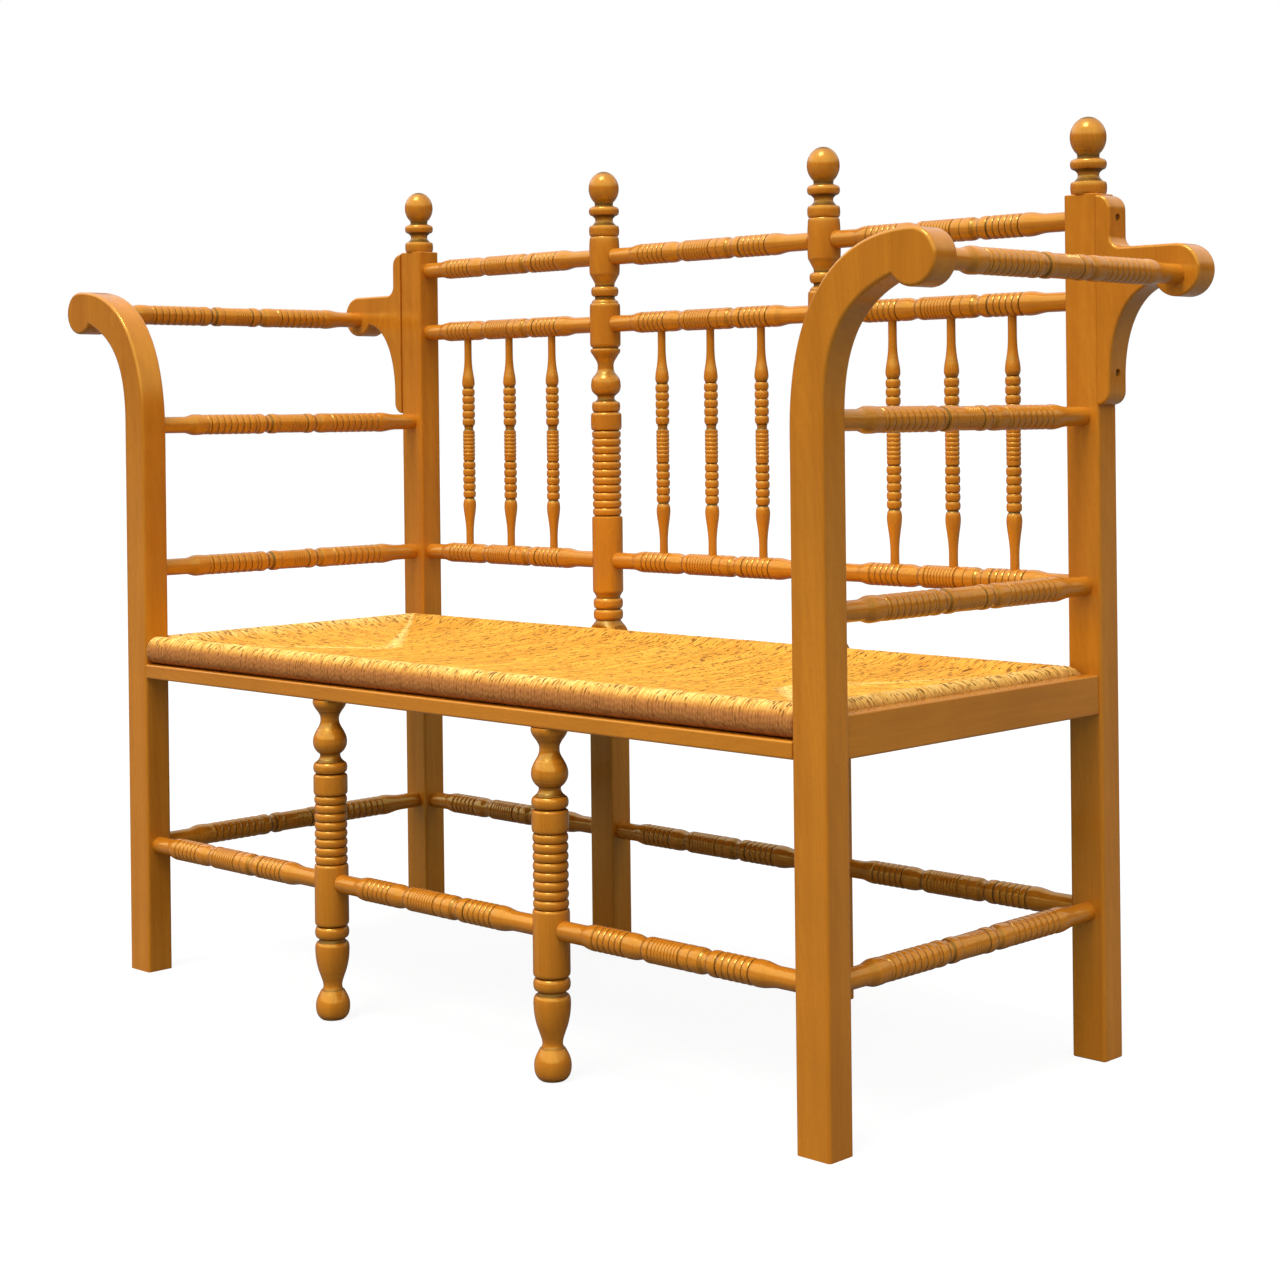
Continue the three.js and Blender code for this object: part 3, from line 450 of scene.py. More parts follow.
def turned(profile, section=None, square_top=0.0, stained_and_shaded=coves):
    """A turning along its own Z from (station, radius) pairs in millimetres.
    Given a section, it stays square like that up to `square_top`."""
    kept = [profile[0]]
    for point in profile[1:]:
        if math.dist(point, kept[-1]) > one_station:
            kept.append(point)
    if section:
        directions = [p.normalized() for p in section]
        reaches = [p.length / mm for p in section]
    else:
        turns = [math.tau * i / lathe_sides for i in range(lathe_sides)]
        directions = [Vector((math.cos(t), math.sin(t))) for t in turns]
        reaches = [math.inf] * lathe_sides
    shape = bmesh.new()
    # how hollow each ring lies, for the stain and painted shade in the hollows
    hollow_layer = shape.verts.layers.float.new("hollow")
    rings = []
    for (station, radius), depth in zip(kept, hollows(kept, *stained_and_shaded)):
        rounding = min(max((station - square_top + shoulder) / shoulder, 0), 1)
        ring = []
        for direction, reach in zip(directions, reaches):
            squared_radius = min(radius, reach) if station <= square_top else radius
            r = squared_radius + (radius - squared_radius) * rounding**2
            vertex = shape.verts.new((direction.x * r * mm, direction.y * r * mm, station * mm))
            vertex[hollow_layer] = depth
            ring.append(vertex)
        rings.append(ring)
    skin(rings, shape)
    return shape


finial_profile = [
    (0, 20.2),
    *bead(0.8, 15, 19.4, 21.2, steps=10, fullness=0.8),
    *curve((15.2, 17.8), (18, 14.6), (22, 12.4), (26, 13.2), (29.4, 16.8)),
    *bead(29.6, 41.4, 17.2, 21.2, steps=12, fullness=0.8),
    *curve((41.8, 16.6), (42.8, 13.8), (44, 12.6)),
    *ball(43, 91.2, 2.5, finial_ball_radius, steps=26)[5:],
]

for side in sides:
    post_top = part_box(f"rear_post_{side}")[1].z
    place = (*axis_of(f"finial_{side}"), post_top)
    finial = wooden(f"finished_finial_{side}", turned(finial_profile), place)
    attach(finial, "root")
    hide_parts(f"finial_{side}")


# Mid posts of the back
# One length of hardwood each: left square from the floor to just above the seat, then turned up to its own
# ball. Plain drums are left where the back rails enter, with a run of rings, a bulb and beads between them.

mid_leg_width = 43 * mm
mid_leg_depth = 38 * mm
leg_round_over = 3 * mm
flat_step = 4 * mm  # between two edges on the flats of the square part
pommel_top = 463
left_square = 40  # more than the corners reach, so that nothing is turned off
drum = 21.5
ring_crest = 20.3
ring_valley = 16.9
finial_base = 1005  # level with the tops of the rear posts

mid_post_profile = [
    (0, 27),
    (1, 28),
    (1.01, left_square),
    (446, left_square),
    *curve((446, 29), (450, 27.6), (455, 25.2), (459, 22.6), (pommel_top, 19.2), (465.4, 17.6)),
    *bead(466.6, 481.2, 17.2, 20.8, steps=10, fullness=0.7),
    *bead(482.4, 497, 17, 20.8, steps=10, fullness=0.7),
    *curve((497.4, 16.8), (499.5, 17.2), (503, 19), (506, 21), (509, drum)),
    (608.6, drum),
    (611, drum - 0.5),
    (612, 19.2),
    *beads(613, 732.4, 11, ring_valley, ring_crest, steps=8, fullness=0.85),
    (733, 19.2),
    *curve((733.6, 20.4), (735.4, 21.2), (738, drum), steps=2),
    *curve((752, drum), (755, 21.2), (757, 20), (757.8, 18.4)),
    *bead(758.6, 773, 16.6, 19.9, steps=10, fullness=0.7),
    *curve((773.6, 15.4), (776, 12.4), (779, 12), (781.4, 13.2), (785, 17.4), (789, 20), (794.6, 21)),
    *curve((794.6, 21), (800, 20.6), (805, 19.4), (809.4, 16.6), (813.6, 13.2), (818, 11.5), (825, 11.3)),
    *curve((825, 11.3), (829.6, 12.6), (834.4, 15.4), (838.6, 18), (842, 20.4), (845, 21), (846.8, 20.4)),
    (847.8, 18.2),
    (849.4, 18.2),
    *curve((850.4, 20), (853, 21.3), (858, 21.4), (880, 21.5), (902, 21.4), (908.6, 21), (910.8, 20)),
    *curve((911.2, 19), (913.6, 18.4), (915.4, 16.8), (917.6, 14), steps=2),
    (920, 14),
    *bead(921, 934.4, 15, 19.2, steps=10, fullness=0.7),
    *curve((935, 13.8), (939, 14), (945, 17), (950, 19.6), (951.6, 20.2)),
    *curve((951.9, 20.8), (958, 21.3), (972, 21.5), (988, 21.3), (1000, 20.6), (1003.6, 20)),
    (1004.8, 18.8),
    *[(station + finial_base, radius) for station, radius in finial_profile[1:]],
]

for side in sides:
    section = []
    corners = squared(mid_leg_width, mid_leg_depth, leg_round_over)
    for point, following in zip(corners, corners[1:] + corners[:1]):
        steps = max(1, round((following - point).length / flat_step))
        section += [point.lerp(following, i / steps) for i in range(steps)]
    column = turned(mid_post_profile, section, pommel_top)
    post = wooden(f"finished_back_post_mid_{side}", column, (*axis_of(f"back_post_mid_{side}"), 0))
    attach(post, "root")
    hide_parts(f"back_post_mid_{side}")


# Mid legs under the front rail
# Hardwood, turned from end to end: ball foot, cup, a plain drum for the stretchers, eight rings, a bead and a
# ball. Tenoned up into the front seat rail.

leg_drum = 21.4
mid_leg_profile = [
    (0, 12.5),
    *curve((0.4, 14), (3, 17.2), (8, 20.2), (15.5, 21.4), (23, 20.8), (30, 18.2), (36.5, 14.6), steps=4),
    *curve((36.6, 13.6), (39.6, 12.2), (43, 11.8), (48, 12.8), (55.5, 15.3)),
    *curve((55.5, 15.3), (64, 18.2), (75, 20.5), (84, 21.3), (90, 21.4), (94, 20.9), (97, 19.3), steps=4),
    *curve((97.2, 17.6), (100, 16.3), (102, 16.3), steps=2),
    *bead(102.2, 117.2, 16.4, 21.4, steps=12, fullness=0.7),
    (117.8, 17.8),
    *curve((118.6, 19.6), (120, 20.9), (123, leg_drum), steps=2),
    *curve((190, leg_drum), (193, 21), (194.6, 20), steps=2),
    *beads(195.4, 281.4, 8, 17.2, 20.6, steps=8, fullness=0.85),
    *curve((282.2, 19.6), (284, 21), (287.6, leg_drum)),
    *curve((303, leg_drum), (306.4, 20.9), (307.8, 19.2), (308.6, 17.4)),
    *bead(309.4, 323, 16.4, 21.4, steps=12, fullness=0.7),
    *curve((323.6, 17.6), (326, 14.8), (330, 12.9), (333.4, 12.8)),
    *curve((333.6, 13.4), (336.4, 16.6), (340, 19.2), (344.6, 21), (349.4, 21.4), (354, 20.8), (358.4, 19.2)),
    *curve((358.4, 19.2), (363, 16.8), (367, 14.4), (371.4, 12.4), (376, 11.7), (381, 12.2), (386.4, 15)),
    *curve((386.4, 15), (391, 18.4), (395, 20.6), (398.6, 21.3), (401.5, 20.8)),
]

for side in sides:
    place = (*axis_of(f"front_leg_mid_{side}"), 0)
    leg = wooden(f"finished_front_leg_mid_{side}", turned(mid_leg_profile), place)
    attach(leg, "root")
    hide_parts(f"front_leg_mid_{side}")


# Arm brackets
# An ear sawn from thinner board, on the outer side of each rear post. It carries the rear end of the top arm
# rod. Two screws in counterbored holes hold it: one through the upper lobe and one through the lower leg.

bracket_depth = 36.6 * mm
bracket_round_over = 3 * mm
bracket_tip_radius = 30 * mm
bracket_tip_rise = 5 * mm  # its axis over the axis of the arm rod that it holds
arm_toe_in = 9 * mm  # how far a top arm rod draws in from the scroll to the bracket
bracket_top = 1003 * mm
bracket_lobe = 18 * mm
bracket_crook = 14 * mm
bracket_leg = 16 * mm
bracket_leg_top = 790 * mm
bracket_pull = 850 * mm  # up to what height the underside hugs the leg
bracket_push = (40 * mm, 892 * mm)  # how it comes out to the tip
bracket_throat = (76 * mm, 897 * mm)
bracket_foot = 760 * mm
bracket_joint = 0.1 * mm  # glue line between the bracket and its post
screw_heights = {"upper": 976 * mm, "lower": 797 * mm}
screw_thicknesses = {"upper": bracket_lobe, "lower": bracket_leg}
counterbore_radius = 4.7
counterbore_depth = 5.0
drill_reach = 12  # out past the face of the bracket


def bracket_outline():
    """The right-hand bracket from the front, counted from the outer face of its post"""
    tip_x = scroll_reach - arm_toe_in - post_width / 2
    tip_height = scroll_height + bracket_tip_rise
    arm_top = tip_height + bracket_tip_radius
    face = bracket_joint
    lobe, leg = bracket_lobe - face, bracket_leg - face
    underside = freehand(
        (bracket_leg, bracket_leg_top), (bracket_leg, bracket_pull), bracket_push, bracket_throat, steps=24
    )
    tip = arc((tip_x, tip_height), bracket_tip_radius, scroll_end_turn, math.pi / 2, steps=36)
    crook_centre = (bracket_lobe + bracket_crook, arm_top + bracket_crook)
    crook = arc(crook_centre, bracket_crook, 1.5 * math.pi, math.pi, steps=10)
    crown = arc((face, bracket_top - lobe), lobe, 0, math.pi / 2, steps=10)
    foot = arc((face, bracket_foot + leg), leg, -math.pi / 2, 0, steps=8)
    foot[0].x = crown[-1].x = face
    return [*foot, *underside, *tip, *crook, *crown]


def cut_with(piece, cutter):
    """Cuts one piece with another and throws the cutter away"""
    modifier = piece.modifiers.new("cut", "BOOLEAN")
    modifier.operation = "DIFFERENCE"
    modifier.object = cutter
    modifier.solver = "EXACT"
    bpy.context.view_layer.update()
    uncut = piece.data
    piece.data = bpy.data.meshes.new_from_object(piece.evaluated_get(bpy.context.evaluated_depsgraph_get()))
    piece.modifiers.remove(modifier)
    piece.data.set_sharp_from_angle(angle=crisp_edge)
    bpy.data.meshes.remove(uncut)
    bpy.data.objects.remove(cutter)


for side, mirror in sides.items():
    low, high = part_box(f"arm_bracket_{side}")
    face_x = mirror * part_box("rear_post_right")[1].x
    place = (face_x, (low.y + high.y) / 2, 0)
    outline = mirrored(bracket_outline(), mirror)
    board = sawn_board(outline, bracket_depth, bracket_round_over, mirror * bracket_joint)
    bracket = wooden(f"finished_arm_bracket_{side}", board, place)
    for end, height in screw_heights.items():
        edge_x = face_x + mirror * screw_thicknesses[end]
        drill = turned([(-counterbore_depth, counterbore_radius), (drill_reach, counterbore_radius)])
        turn = (0, mirror * math.pi / 2, 0)
        cut_with(bracket, wooden("drill", drill, (edge_x, place[1], height), turn))
    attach(bracket, "root")
    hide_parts(f"arm_bracket_{side}")


# Bracket screws
# Slotted pan-head wood screws of plated steel, gone a little dull. Only their heads show, down in the
# counterbores of the brackets that they hold to the rear posts.

screw_head_radius = 4.3
screw_head_height = 2.6
screw_shank_radius = 2.1
screw_shank_length = 18
screw_length = 24
screw_point_radius = 0.6
slot_width = 1.1 * mm
slot_depth = 1.3 * mm
slot_length = 12 * mm  # it runs out at both sides of the head
plated_steel = (0.36, 0.33, 0.28, 1)
tarnish = (0.16, 0.12, 0.08, 1)
steel_roughness = (0.25, 0.6)  # bright and tarnished


def make_screw_steel():
    """Dull plated steel with darker tarnish in patches"""
    material, tree, shader = new_material("screw_steel")
    place = add_node(tree, "ShaderNodeTexCoord").outputs["Object"]
    cloudy = {"Vector": place, "Scale": 600.0, "Detail": 4.0}
    patches = add_node(tree, "ShaderNodeTexNoise", cloudy).outputs["Fac"]
    finish = {
        "Base Color": mixed(tree, patches, plated_steel, tarnish),
        "Roughness": ramped(tree, patches, 0.0, 1.0, *steel_roughness),
        "Metallic": 1.0,
    }
    feed(tree, shader, finish)
    return material


def block(size, middle):
    """A plain rectangular block"""
    shape = bmesh.new()
    bmesh.ops.create_cube(shape, size=1, matrix=Matrix.Translation(middle) @ Matrix.Diagonal((*size, 1)))
    return shape


screw_steel = make_screw_steel()
screw_profile = [
    (-screw_length, screw_point_radius),
    (-screw_shank_length, screw_shank_radius),
    (0, screw_shank_radius),
    (0, screw_head_radius),
    *curve((0.9, screw_head_radius), (1.7, 3.9), (2.3, 2.8), (screw_head_height, 0.5), steps=4),
]

for side, mirror in sides.items():
    for end, height in screw_heights.items():
        bracket_low, bracket_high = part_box(f"arm_bracket_{side}")
        axis_y = (bracket_low.y + bracket_high.y) / 2
        seat_x = mirror * (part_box("rear_post_right")[1].x + screw_thicknesses[end] - counterbore_depth * mm)
        turn = (0, mirror * math.pi / 2, 0)
        name = f"bracket_screw_{end}_{side}"
        screw = wooden(f"finished_{name}", turned(screw_profile), (seat_x, axis_y, height), turn)
        slot_cutter = block((slot_width, slot_length, 2 * slot_depth), (0, 0, screw_head_height * mm))
        cut_with(screw, wooden("slot", slot_cutter, (seat_x, axis_y, height), turn))
        screw.data.materials[0] = screw_steel
        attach(screw, "root")
        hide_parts(name)


# Arm rods and side stretchers
# Eight rods of one pattern from front to rear, three in each arm and one low down on each side. Turned
# hardwood, glued into blind holes: a swell and seven beads at each end, and a plainer middle.

slim = 11.4
swell = 14.6
side_reach = 231
along_y = (-math.pi / 2, 0, 0)

side_rod_profile = [
    (-side_reach, slim),
    *curve((-188, slim), (-182, 11.6), (-176, 13), (-170, 14.5), (-165, swell), (-158, 14.4), (-152, 13.8)),
    (-150.6, 12.9),
    (-149.6, 13.9),
    (-146.4, 13.9),
    *beads(-145, -69, 7, 11.9, 14.2),
    (-68, 13.7),
    (-64.5, 13.7),
    *bead(-63, -51, 12.9, 14.4),
    *curve((-50.4, 13), (-48, 12), (-45, 11.6), (-42, 12), (-39.6, 13)),
    *bead(-39, -27, 12.9, 14.3),
    (-26, 12.9),
    (-24.6, 13.2),
    (-4, 13.2),
    *beads(-3, 22, 6, 12.4, 13.4, steps=4),
    (23.4, 12.8),
    *bead(24, 36, 12.9, 14.3),
    *curve((36.6, 13), (39, 12.1), (42, 11.7), (45, 12.2), (48, 13.3), (52, 14.2), (60, 14.3), (68, 13.9)),
    (69.4, 12.9),
    (70.6, 13.9),
    (74.6, 13.9),
    *beads(76, 154, 7, 11.9, 14.2),
    (155, 13.6),
    (156.4, 13.8),
    *curve((157, 13.9), (161, 14.4), (165.5, swell), (172, 14.2), (180, 13), (189, 11.8), (196, slim)),
    (side_reach, slim),
]

toe_angle = math.atan(arm_toe_in / (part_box("rear_post_right")[0].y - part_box("front_post_right")[0].y))
side_rod_turns = {
    "arm_rod_top": toe_angle,
    "arm_rod_middle": 0.0,
    "arm_rod_lower": 0.0,
    "stretcher_side": 0.0,
}

for side, mirror in sides.items():
    for row, toe in side_rod_turns.items():
        name = f"{row}_{side}"
        low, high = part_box(name)
        shape = turned(side_rod_profile, stained_and_shaded=fine_grooves)
        rod = wooden(f"finished_{name}", shape, (low + high) / 2, (along_y[0], 0, mirror * toe))
        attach(rod, "root")
        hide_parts(name)


# Back rails and long stretchers
# Fifteen hardwood rods of a second pattern, all the same way round: three rows across the back and a row of
# stretchers front and rear. Each is turned in one piece, spans one bay and is glued into its posts.

bay_reach = 181
along_x = (0, math.pi / 2, 0)

bay_rod_profile = [
    (-bay_reach, 11.5),
    *curve((-148, 11.5), (-143, 11.8), (-138, 13), (-133, 14), (-128, 14.5), (-124, 14.4)),
    *beads(-122, -77.5, 5, 12, 14.5, steps=8),
    *curve((-77, 13.2), (-75, 14.2), (-70, 14.5), (-62, 14.2), (-57, 13), (-53, 12.2), (-50, 12)),
    *curve((-50, 12), (-47, 12.4), (-44.5, 13.8), (-41, 14.4)),
    (-37.6, 14.4),
    (-36.4, 12.6),
    (-35.2, 14.2),
    (-31, 14.3),
    *beads(-30, 8, 8, 13, 14.4, steps=5),
    (9.4, 14),
    *bead(10, 23, 13.2, 14.5),
    *bead(23.6, 38, 13.2, 14.5),
    *curve((38.6, 13.6), (41.6, 12.4), (45, 12), (48.6, 12.6)),
    *bead(50, 62, 12.6, 14.5),
    *beads(63.6, 109, 5, 12, 14.5, steps=8),
    *curve((109.6, 13.2), (111.6, 14.2), (116, 14.6), (124, 14.2), (131, 13), (137, 12), (142, 11.5)),
    (bay_reach, 11.5),
]

bay_offsets = {"left": -1, "centre": 0, "right": 1}
bay = 2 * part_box("back_post_mid_right")[0].x + mid_leg_width
for bay_name, offset in bay_offsets.items():
    for row in ("back_rail_top", "back_rail_upper", "back_rail_lower", "stretcher_front", "stretcher_rear"):
        low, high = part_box(f"{row}_{bay_name}")
        place = (offset * bay, (low.y + high.y) / 2, (low.z + high.z) / 2)
        shape = turned(bay_rod_profile, stained_and_shaded=fine_grooves)
        rod = wooden(f"finished_{row}_{bay_name}", shape, place, along_x)
        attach(rod, "root")
        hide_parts(f"{row}_{bay_name}")


# Spindles
# Nine thin hardwood turnings between the lower and upper back rails, three to a bay: beads, a ringed barrel,
# more beads, and long plain necks that plug into the rails.

neck = 5.8
spindle_bead = 9.4
spindle_valley = 6.9

spindle_profile = [
    (5, neck),
    *curve((26, 5.6), (34, 5.7), (44, 6.4), (54, 7.6), (64, 9), (72, 9.6), (78, 8.9)),
    (80, 8.4),
    (81, 7.4),
    *beads(83, 137, 5, spindle_valley, spindle_bead, steps=8, fullness=0.75),
    (138, 7.6),
    (139.4, 8.7),
    (144, 8.7),
    *beads(144.6, 178, 6, 8.1, 8.9, steps=4),
    (178.6, 8.7),
    (182, 8.7),
    *curve((182.6, 7.8), (184.6, 6.6), (187, 6.5), (189.6, 7.4)),
    *beads(190.4, 245.8, 5, spindle_valley, spindle_bead, steps=8, fullness=0.75),
    (246.6, 7.6),
    *curve((247.6, 7.8), (250.6, 9), (254, 9.4), (262, 8.6), (270, 7.2), (280, 6), (290, 5.5), (300, 5.4)),
    (327, 5.4),
]

for bay_name in bay_offsets:
    for number in (1, 2, 3):
        low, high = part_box(f"spindle_{bay_name}_{number}")
        rail_low, rail_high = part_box(f"back_rail_lower_{bay_name}")
        place = ((low.x + high.x) / 2, (low.y + high.y) / 2, (rail_low.z + rail_high.z) / 2)
        shape = turned(spindle_profile, stained_and_shaded=fine_grooves)
        spindle = wooden(f"finished_spindle_{bay_name}_{number}", shape, place)
        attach(spindle, "root")
        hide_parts(f"spindle_{bay_name}_{number}")


# Seat rails
# A shallow rail front and rear and a deeper one at each side, tenoned into the posts, carry the drop-in seat.
# Plain hardwood with small rounded arrises.

rail_round_over = 2.4 * mm

for name, along in (
    ("seat_rail_front", along_x),
    ("seat_rail_rear", along_x),
    ("seat_rail_left", along_y),
    ("seat_rail_right", along_y),
):
    low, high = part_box(name)
    size = high - low
    height = size.z
    if along == along_x:
        shown = 2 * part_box("front_post_right")[0].x if name == "seat_rail_front" else size.x
        rail = timber(height, size.y, -shown / 2, shown / 2, rail_round_over)
    else:
        shown = 2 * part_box("rear_post_right")[0].y
        rail = timber(size.x, height, -shown / 2, shown / 2, rail_round_over)
    piece = wooden(f"finished_{name}", rail, (low + high) / 2, along)
    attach(piece, "root")
    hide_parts(name)


# Slip frame
# Four plain rails, mortised together, that the rush is wound on. They are out of sight inside it, and keep
# their CAD solids.

for name in ("seat_frame_front", "seat_frame_rear", "seat_frame_left", "seat_frame_right"):
    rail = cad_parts[name]
    rail.data.materials.clear()
    rail.data.materials.append(varnished_wood)
    rail["board"] = board_numbers.uniform(0, board_spread)


# Rush seat
# Twisted rush, wound over each rail of the slip frame and in towards the middle, so that the courses meet on
# mitre lines from the corners. Packed hard into a roll at the edge, it sags in the middle, and is varnished.

strand_pitch = 4.2 * mm
strand_widths = (0.75, 1.25)  # narrowest and widest, against each other
strand_sink = 0.5 * mm  # how far a strand may lie below the proudest
strand_wander = 0.5 * mm  # how far the line between two strands strays sideways
wander_phase = 70  # radians to the metre
valley_depth = 1.3 * mm  # between two strands
across_strand = ((0.0, 1.0), (0.2, 0.3), (0.5, 0.0), (0.8, 0.3))  # shares of the width, shares of the valley
roll_radius = 18.5 * mm
roll_squareness = 0.7  # of the lower half of the roll; 1 is round
seam_dip = 0.7 * mm  # along the mitre lines
seam_width = 7 * mm
top_line = [  # inset from the edge, fall below the roll's top
    (18.5, 0), (24, 0.7), (30, 2.2), (36, 4.4), (42, 7.2), (50, 9.6), (62, 11), (90, 12.8), (130, 15.3),
    (180, 17.8), (248, 20),
]
underside_line = [(18.5, 0), (58, 0.3), (74, 3.6), (90, 9), (248, 9)]
around_roll = 8  # steps in a quarter turn
over_top = 12  # steps from the roll to the middle
under_top = over_top // 4
crowding = 1.25  # of these steps towards the roll
one_point = 1e-6  # points nearer than this to each other are one
post_clearance = 0.3 * mm
corner_start = 0.8 * mm  # how far from a corner the first strand lies
crisp_rush_edge = math.radians(60)

rush_low, rush_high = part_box("rush_seat")
post_low, post_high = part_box("front_post_right")
seat_half_width = rush_high.x
front_y, rear_y = rush_low.y, rush_high.y
half_depth = (rear_y - front_y) / 2
between_posts = post_low.x - post_clearance
behind_posts = post_high.y - front_y + post_clearance
strands = random.Random(5)


def along_line(line, inset):
    """The height that a line of (inset, height) points gives at an inset"""
    inset = inset / mm
    for (start, first), (end, second) in zip(line, line[1:]):
        if inset <= end:
            share = min(max((inset - start) / (end - start), 0), 1)
            return (first + (second - first) * share) * mm
    return line[-1][1] * mm


def strand_section(run):
    """Round one strand, from its inner end on top, over the roll and back under.
    Each point is its inset, its height and the direction that faces out there."""
    turn = math.acos(1 - min(run, roll_radius) / roll_radius)
    arc_turns = [turn * i / around_roll for i in range(around_roll + 1)]
    middle = rush_low.z + roll_radius
    over, under = [], []
    for t in reversed(arc_turns):
        inset, out, up = roll_radius * (1 - math.cos(t)), -math.cos(t), math.sin(t)
        over.append((inset, middle + roll_radius * up, (out, up)))
        under.append((inset, middle - roll_radius * up**roll_squareness, (out, -up)))
    under.reverse()
    if run > roll_radius:
        shares = [(i / over_top) ** crowding for i in range(1, over_top + 1)]
        tail = [roll_radius + (run - roll_radius) * share for share in shares]
        every = over_top // under_top
        top = [(d, rush_high.z - along_line(top_line, d), (0, 1)) for d in reversed(tail)]
        bottom = [(d, rush_low.z + along_line(underside_line, d), (0, -1)) for d in tail[every - 1 :: every]]
    else:
        top, bottom = over[:1] * over_top, under[-1:] * under_top
    return top + over + under[1:] + bottom


def rush_zone(start, end, run_at, place_at):
    """All the strands over one rail. `run_at` gives a strand's reach inwards, and `place_at` turns
    (place along the rail, inset, height) into a point. Returns the points, the faces, the number of each
    face's strand, and what the points tell the material."""
    count = round((end - start) / strand_pitch)
    widths = [strands.uniform(*strand_widths) for _ in range(count)]
    edges = [start]
    for width in widths:
        edges.append(edges[-1] + width * (end - start) / sum(widths))
    phases = [strands.uniform(0, math.tau) for _ in edges]
    columns = []
    for number, (left, right) in enumerate(zip(edges, edges[1:])):
        proud = strands.uniform(-strand_sink, 0.0)
        for share, depth in across_strand:
            columns.append((left + share * (right - left), depth, proud, number, share))
    columns.append((end, 1.0, 0.0, count - 1, 1.0))
    vertices, faces, numbers, rings = [], [], [], []
    marks = {"valley": [], "seam": [], "along": [], "rise": []}
    for place, depth, proud, number, share in columns:
        run = run_at(place)
        ring = []
        travelled = 0.0
        previous = None
        for inset, height, (out, up) in strand_section(run):
            seam = max(0, 1 - (run - inset) / seam_width) if roll_radius < run < half_depth else 0
            seam *= up > 0.5
            drop = depth * valley_depth - proud + seam * seam_dip
            point = (inset - out * drop, height - up * drop)
            step = math.dist(point, previous) if previous else math.inf
            travelled += step if previous else 0
            if step < one_point:
                ring.append(ring[-1])
                continue
            previous = point
            both_sides = phases[number : number + 2]
            left_sway, right_sway = (math.sin(phase + inset * wander_phase) for phase in both_sides)
            sway = strand_wander * (left_sway + (right_sway - left_sway) * share) * min(up + 1, 1)
            if place in (start, end):
                sway = 0
            ring.append(len(vertices))
            vertices.append(place_at(place + sway, *point))
            for mark, value in (("valley", depth), ("seam", seam), ("along", travelled), ("rise", up)):
                marks[mark].append(value)
        rings.append(ring)
    for column, (ring, following) in zip(columns, zip(rings, rings[1:])):
        for i in range(len(ring)):
            corners = [ring[i - 1], ring[i], following[i], following[i - 1]]
            corners = [c for k, c in enumerate(corners) if c != corners[k - 1]]
            if len(corners) > 2:
                faces.append(corners)
                numbers.append(column[3])
    for ring in (rings[0], rings[-1]):
        faces.append([c for k, c in enumerate(ring) if c != ring[k - 1]])
        numbers.append(0)
    return vertices, faces, numbers, marks


def front_run(x):
    return min(max(seat_half_width - abs(x), behind_posts), half_depth)


def rear_run(x):
    return min(seat_half_width - abs(x), half_depth)


def side_run(y):
    return min(y - front_y, rear_y - y, half_depth)


straw = (0.81, 0.425, 0.055, 1)
golden_rush = (0.62, 0.265, 0.026, 1)
pale_rush = (1.0, 0.7, 0.24, 1)  # where it is rubbed, with a painted highlight along the tops of the rolls, and where the courses meet
# dark fibres, and painted shade in the furrows of the twist and the gaps between strands
brown_fibre_and_shade = (0.11, 0.032, 0.006, 1)
shaded_rush = (0.43, 0.165, 0.052, 1)  # painted shade round the front and underside of the rolls, which turn away from the light above
rub_highlight_start, rub_highlight_full = 11 * mm, 3 * mm  # below the top of the rolls: where the rubbing and its painted highlight start, and where they are full
seam_paleness = 0.7
twist_phase = 900.0  # radians to the metre along a strand
twist_lean = 3.2  # radians across a strand
twist_offset = 60.0  # radians between the strands of the first tone and of the last
own_tone_share = 0.35  # beside the fibres
rush_marks = {  # where a mark starts and where it is full, and its strength at the first and at the second
    "light leaf": (0.45, 0.9, 0.0, 1.0),  # by noise
    "old patches": (0.5, 0.75, 0.0, 0.5),
    # the pale rubbing and painted highlight on the tops of the rolls
    "rubbed and highlit fibres": (0.4, 0.62, 0.1, 0.8),
    "dark fibres": (0.34, 0.44, 0.3, 0.0),
    # painted shade in the gaps and clefts between strands
    "long gaps": (0.575, 0.625, 0.05, 0.85),
    "clefts": (0.645, 0.685, 0.0, 0.75),
    "dull fibres": (0.2, 0.8, 0.45, 0.65),
    "ridges": (-1.0, 0.6, 0.0, 1.0),  # by the wave of the twist
    "painted furrow shade": (0.0, 1.0, 0.1, 0.0),  # by the height of a ridge: painted shade in the furrows of the twist
    "gap width": (0.02, 0.32, 0.0, 1.0),  # by the depth between two strands: deeper gaps carry more painted shade
    "painted roll shade": (0.85, 0.25, 0.0, 0.9),  # by how far it faces up: painted shade where it faces out and down
    "gaps on top": (0.15, 0.8, 0.5, 1.0),
    "clefts on top": (0.5, 0.9, 0.0, 1.0),
}
rear_rub_and_highlight = 0.1  # the rear roll carries hardly any of the rubbing and painted highlight of the front and side rolls


